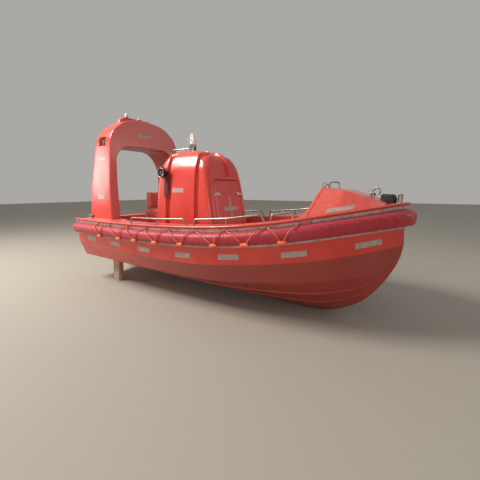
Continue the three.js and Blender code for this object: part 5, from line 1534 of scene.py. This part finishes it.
loops = [belt + outwards * off + [x, 0, 0]
    for off, x in ((0, -.146), (.010, -.150), (.010, -.130), (0, -.134))]
build("engine_belt", [grid(np.stack(loops, 1), wrap=True, ring=True)], RUBBER, crease=50)

# ---- waterjet
# The jet unit is cast aluminium on a flange bolted to the transom, with lugs above and below its
# outlet that carry the steering nozzle on two stainless pins.
JET_Z, PIVOT_X = .420, -2.659
flange_bolts = [lathe((-2.498, y, z), (-1, 0, 0), [(0, .013), (.009, .013), (.011, .010), (.011, 0)], 6)
    for y, z in [(s * w, JET_Z + h) for s in (-1, 1)
    for w, h in ((.186, -.160), (.186, 0), (.186, .170), (.075, .176))]]
casting = [soft_block((-2.499, -2.440), (-.210, .210), (.230, .620), .006, .004, both=True),
    lathe((-2.492, 0, JET_Z), (-1, 0, 0), [(0, 0), (0, .166), (.010, .166), (.018, .152), (.088, .128),
    (.088, .140), (.102, .140), (.102, .082), (.112, .080), (.167, .066), (.167, .057), (.02, .059),
    (.02, 0)], 48)]
rib, rib_faces = slab([(-2.494, .140), (-2.494, .176), (-2.530, .160), (-2.590, .132), (-2.590, .118)], -.005,
    .005, .003, .001)
for k in range(8):
    a = k * math.pi / 4 + math.pi / 8
    y, z = math.cos(a), math.sin(a)
    casting.append((np.column_stack([rib[:, 0], rib[:, 2] * y - rib[:, 1] * z,
        JET_Z + rib[:, 2] * z + rib[:, 1] * y]), rib_faces))
for k in (-1, 1):
    casting.append(soft_block((-2.683, -2.497), (-.024, .024), sorted((JET_Z + k * .118, JET_Z + k * .140)),
        .020, .004, both=True))
build("waterjet_casting", casting, CASTING, crease=40, stands_for=["waterjet"])
pins = [rod((PIVOT_X, 0, JET_Z + k * .104), (PIVOT_X, 0, JET_Z + k * .143), .010) for k in (-1, 1)]
pins += [lathe((PIVOT_X, 0, JET_Z + k * .139), (0, 0, k), [(0, .016), (.007, .016), (.009, .013), (.009, 0)],
    6) for k in (-1, 1)]
build("nozzle_pins", pins + flange_bolts, STAINLESS)

# ---- steering nozzle
# A cast aluminium tube that swings about the two pins, with ears round them and a boss each side for
# the reverse bucket.
BUCKET_X, BUCKET_Z = -2.7298, .470
nozzle = [lathe((PIVOT_X + .005, 0, JET_Z), (-1, 0, 0), [
    (0, .092), (0, .102), (.012, .102), (.016, .099), (.118, .086), (.122, .089), (.140, .088), (.140, .073),
    (.136, .072), (.004, .091)], 48, hollow=True)]
for k in (-1, 1):
    nozzle.append(soft_block((PIVOT_X - .022, PIVOT_X + .005), (-.024, .024),
        sorted((JET_Z + k * .094, JET_Z + k * .112)), .008, .002, both=True))
    nozzle.append(lathe((BUCKET_X, k * .078, BUCKET_Z), (0, k, 0),
        [(0, 0), (0, .019), (.026, .016), (.030, .012), (.056, .012), (.056, 0)], 20))
build("steering_nozzle", nozzle, CASTING, "nozzle_body", crease=40, stands_for=["steering_nozzle"])

# ---- reverse bucket
# A ribbed cast hood over the nozzle, on two arms with a washer and bolt each, which drops over the
# jet to send it forwards.
HOOD, HOOD_HALF = .116, .122       # radius, and half width
middle_x, middle_z = BUCKET_X - .020, BUCKET_Z + .074
turn = np.radians(np.linspace(64.6, 183.8, 31))
across = [(-HOOD_HALF, .006), (-HOOD_HALF, HOOD - .006), (-HOOD_HALF + .006, HOOD), (HOOD_HALF - .006, HOOD),
    (HOOD_HALF, HOOD - .006), (HOOD_HALF, .006), (HOOD_HALF - .010, .006), (HOOD_HALF - .010, HOOD - .012),
    (-HOOD_HALF + .010, HOOD - .012), (-HOOD_HALF + .010, .006)]
hood = np.stack([np.column_stack([middle_x + r * np.cos(turn), 0 * turn + y, middle_z + r * np.sin(turn)])
    for y, r in across], 1)
bucket = [grid(hood, ring=True, ends=True)]
for y in (-.070, 0, .070):
    rib = [(y - .005, HOOD - .004), (y - .004, HOOD + .004), (y + .004, HOOD + .004), (y + .005, HOOD - .004)]
    a = turn[1:-1]
    bucket.append(grid(np.stack([np.column_stack([middle_x + r * np.cos(a), 0 * a + w,
        middle_z + r * np.sin(a)]) for w, r in rib], 1), ring=True, ends=True))
for k in (-1, 1):
    y = sorted((k * (HOOD_HALF - .010), k * HOOD_HALF))
    bucket.append(slab([(BUCKET_X - .058, .550), (BUCKET_X + .020, .550), (BUCKET_X + .022, .452),
        (BUCKET_X - .022, .450), (BUCKET_X - .050, .500)], *y, .016, .0015))
build("reverse_bucket", bucket, CASTING, "bucket_body", crease=40, stands_for=["reverse_bucket"])
build("bucket_bolts", [lathe((BUCKET_X, k * .1215, BUCKET_Z), (0, k, 0),
    [(0, 0), (0, .024), (.003, .024), (.003, .017), (.008, .017), (.010, .013), (.010, 0)], 6)
    for k in (-1, 1)], STAINLESS, "bucket_body")

# ---- stern cleats
# A stainless horn cleat on a bolted pad on each quarter.
deck_at = at_sheer(-2.33)[1] + DECK_T
for name, k in SIDES:
    y = k * .880
    horn = np.array([(-2.410, y, 1.186), (-2.385, y, 1.181), (-2.330, y, 1.178), (-2.275, y, 1.181),
        (-2.250, y, 1.186)])
    parts = [soft_block((-2.385, -2.275), (y - .026, y + .026), (deck_at - .002, deck_at + .008), .012, .003),
        tube(horn, .0115, 14, taper=[.55, .85, 1.05, .85, .55])]
    for x in (-2.360, -2.300):
        parts.append(lathe((x, y, deck_at + .004), (0, 0, 1),
            [(0, 0), (0, .019), (.010, .014), (.036, .012), (.048, .013), (.048, 0)], 20))
    build("stern_cleat_" + name, parts, STAINLESS, stands_for=["stern_cleat_" + name])

# ---- timber blocks
# A sawn softwood post stands on end under each quarter, its top cut to the slope of the bottom.
BLOCK = {"x": (-1.903, -1.745), "y": (-.735, -.635)}


def timber(name, slot, pale, dark):
    """Sawn softwood on end: growth bands 9 mm apart, drawn at 18, warped along the grain, with saw
    marks every 12 mm and grey weathering."""
    m, tree = start_finish(name, slot, Roughness=.8)
    grain = add_node(tree, "ShaderNodeMapping",
        {"Vector": here(tree), "Scale": (1, 1, .07)}).outputs["Vector"]
    bands = add_node(tree, "ShaderNodeTexWave",
        {"Vector": grain, "Scale": 9.0, "Distortion": 7.0, "Detail": 3.0}, bands_direction="DIAGONAL")
    wood = tint(tree, bands.outputs["Fac"], pale, dark)
    surface(tree, Base_Color=tint(tree, blotch(tree, 60, -.2, .8, detail=5), wood, "#8E8378"))
    marks = add_node(tree, "ShaderNodeTexWave", {"Vector": here(tree), "Scale": 26.0, "Distortion": 1.5},
        bands_direction="Z")
    relief(tree, marks.outputs["Fac"], .8)
    return m


TIMBER = timber("sawn_softwood", "timber", "#C9AE92", "#A38468")
station = int(np.argmin(np.abs(section[:, 0, 0] + 1.824)))
under = section[station]
under = under[:int(np.argmax(under[:, 1] >= .9)) + 1]
edge_x, edge_y = BLOCK["x"], BLOCK["y"]
levels_z = np.concatenate([[0, .004], np.linspace(.03, .97, 9), [.992, 1]])
post = []
for share in levels_z:
    ease_in = .0035 if share in (0, 1) else .0010 * math.sin(23 * share)
    ring_at = corner_ring((edge_x[0] + ease_in, edge_x[1] - ease_in),
        (edge_y[0] + ease_in, edge_y[1] - ease_in), 0, .004, 3)
    ring_at = np.vstack([spread(np.vstack([a, b]), 6)[:-1] for a, b in zip(ring_at, np.roll(ring_at, -1, 0))])
    top = np.interp(-ring_at[:, 1], under[:, 1], under[:, 2]) - .0006
    ring_at[:, 2] = top * share
    post.append(ring_at)
post = np.stack(post)
for name, k in (("starboard", 1), ("port", -1)):
    build("timber_block_" + name, [grid(post * [1, k, 1], ring=True, ends=True)], TIMBER, crease=45,
          stands_for=["timber_block_" + name])

# ---- reflective tape
# Strips of silver-grey glass-bead tape stuck on the topsides, arch, casing, locker and hatch, so that
# the boat shows up in a searchlight. Each is .8 mm proud of what it is stuck to.
TAPE_FROM, TAPE_WIDTH = .135, .070     # share of the way up the topside, and metres
TAPE_ON_HULL = ((.0320, .0602), (.1025, .1258), (.1660, .1913), (.2432, .2737), (.3407, .3885),
    (.5020, .5863), (.7253, .8283))


def reflective(name, slot, base, soiled):
    """Glass-bead tape: a honeycomb of sealed cells 6 mm across, drawn at 16, under a clear film that
    is soiled in patches."""
    m, tree = start_finish(name, slot, Coat_Weight=.5, Coat_Roughness=.25, Roughness=.45)
    cells = add_node(tree, "ShaderNodeTexVoronoi",
        {"Vector": here(tree), "Scale": 1000 / 16, "Randomness": .15}, feature="DISTANCE_TO_EDGE")
    cell_wall = remap(tree, cells.outputs["Distance"], .02, .10)
    silver = tint(tree, cell_wall, "#C2AEA7", base)
    surface(tree, Base_Color=tint(tree, blotch(tree, 50, -.2, .8, detail=5), silver, soiled))
    relief(tree, cell_wall, .2)
    return m


def sticker(surface_at, rows=3, columns=8):
    """A thin closed patch: surface_at(u, v, lift) gives its points for u and v from 0 to 1, and each
    long edge is drawn in so that the tape has a rounded rim."""
    u = np.linspace(0, 1, columns)
    around = [(0, -.0006), *[(v, .0008) for v in np.linspace(0, 1, rows)], (1, -.0006)]
    return grid(np.stack([surface_at(u, 0 * u + v, lift) for v, lift in around], 1), ring=True, ends=True)


def both_sides(patch):
    """A patch, and the same on the other side of the boat."""
    return [patch, (patch[0] * MIRROR, patch[1])]


TAPE = reflective("glass_bead_tape", "grey_strip", "#AE9890", "#95807A")
patches = []
for a, b in TAPE_ON_HULL:
    def on_topside(u, v, lift, a=a, b=b):
        """Between the knuckle's ledge and the sheer: from a share of the way up, its width in metres."""
        t = mix(a, b, u)
        low, high = curve_at(KNUCKLE, t) + np.outer(1 - ease(t, STEM_FADE, 1),
            [0, *KNUCKLE_STEP]), curve_at(SHEER, t)
        v = TAPE_FROM + TAPE_WIDTH * v[:, None] / np.linalg.norm(high - low, axis=1, keepdims=True)
        ahead = unit(curve_at(SHEER, np.minimum(t + .001, 1)) - curve_at(SHEER, np.maximum(t - .001, 0)))
        square = unit(np.cross(unit(high - low), ahead))
        square *= np.sign(square[:, 1:2])
        return mix(low, high, v) + square * lift
    patches += both_sides(sticker(on_topside, 3, 14))
arch_y = lambda z: np.interp(z, outer[:60, 1], outer[:60, 0])
for (x0, x1), (z0, z1) in (((-2.163, -1.917), (2.168, 2.220)), ((-2.205, -1.935), (1.480, 1.555))):
    def on_leg(u, v, lift, x0=x0, x1=x1, z0=z0, z1=z1):
        """On the outer face of the arch's starboard leg, which leans in as it rises."""
        z, x = mix(z0, z1, v), mix(x0, x1, u)
        crown = .006 * np.sin(np.pi * np.clip((x + 2.25) / .46, 0, 1)) * arch_y(z)
        return np.column_stack([x, -(arch_y(z) + crown + lift), z])
    patches += both_sides(sticker(on_leg, 5, 8))


def on_crossbar(u, v, lift):
    """On the forward face of the arch over the opening."""
    y, z = -.196 + .304 * u, 2.640 + .062 * v
    return np.column_stack([smooth_table(z, ARCH_SIDE, 2, .08) + lift, y, z])


def on_casing(u, v, lift):
    """On the starboard face of the casing, forward of the searchlight."""
    x, z = -.620 + .250 * u, 1.600 + .072 * v
    smooth = curve_at(CONSOLE, np.linspace(0, 1, 2001))
    return np.column_stack([x, -(np.interp(z, smooth[:, 0], smooth[:, 3]) + lift), z])


def on_locker(u, v, lift):
    """On the starboard side of the foredeck locker, 20 mm above the gunwale, 75 mm of tape."""
    x = 2.008 + .268 * u
    low = np.column_stack([x, -np.interp(x, place, foot), np.interp(x, place, sheer_z) + .020])
    high = np.column_stack([x, -np.interp(x, place, top_half), np.interp(x, place, top_z)])
    square = unit(np.cross([1, 0, 0], high - low))
    square *= np.sign(square[:, 2:])
    return low + unit(high - low) * (.020 + .075 * v)[:, None] + square * lift


build("reflective_tape", patches + [sticker(on_crossbar, 4, 10), sticker(on_casing, 4, 10),
    sticker(on_locker, 4, 12)], TAPE, crease=50)
cross = [sticker(lambda u, v, lift: on_slope(FRONT_FACE, .060 * u, 1.160 + .370 * v, lift), 6, 4),
    sticker(lambda u, v, lift: on_slope(FRONT_FACE, -.160 + .370 * u, 1.305 + .070 * v, lift * 1.9), 4, 8)]
build("hatch_tape_cross", cross, TAPE, "hatch_body", crease=50)

# ---- floor and light
# A plain pale floor, and four soft round lights under a pale sky: two from the left, one high and one
# low, that give the hull and arch their glare, one off the bow and a faint one from the port bow. The
# picture is shown by the plain sRGB transform.
floor = place_mesh("floor", [([(-40, -40, 0), (40, -40, 0), (40, 40, 0), (-40, 40, 0)], [(0, 1, 2, 3)])])
concrete, _ = start_finish("pale_floor", "", Base_Color=rgb("#A49F94"), Roughness=.85)
floor.data.materials.append(concrete)

for name, place, aim, size, power, colour in (
        ("high_left_light", (-6.1, -5.0, 8.2), (0, 0, 1.2), 4.0, 1350, "#FFF9F2"),
        ("low_left_light", (-9.2, -5.2, 2.9), (-2.0, -.9, 1.9), 2.6, 130, "#FFFDFA"),
        ("bow_light", (4.4, -8.8, 2.2), (.9, 0, .8), 5.0, 150, "#FFFBF6"),
        ("port_light", (6.6, 5.0, 3.0), (-1.9, -.3, 2.0), 2.8, 34, "#FBF7F4")):
    lamp = bpy.data.lights.new(name, "AREA")
    lamp.shape = "DISK"
    lamp.size = size
    lamp.energy = power
    lamp.color = rgb(colour)[:3]
    lamp_object = bpy.data.objects.new(name, lamp)
    lamp_object.location = place
    away = np.array(place) - np.array(aim)
    turn = math.atan2(away[0], -away[1])
    lamp_object.rotation_euler = (math.atan2(math.hypot(away[0], away[1]), away[2]), 0, turn)
    bpy.context.collection.objects.link(lamp_object)
world = bpy.data.worlds.new("sky")
world.use_nodes = True
world.node_tree.nodes["Background"].inputs["Color"].default_value = rgb("#E8E6E2")
world.node_tree.nodes["Background"].inputs["Strength"].default_value = .5
bpy.context.scene.world = world
bpy.context.scene.view_settings.view_transform = "Standard"
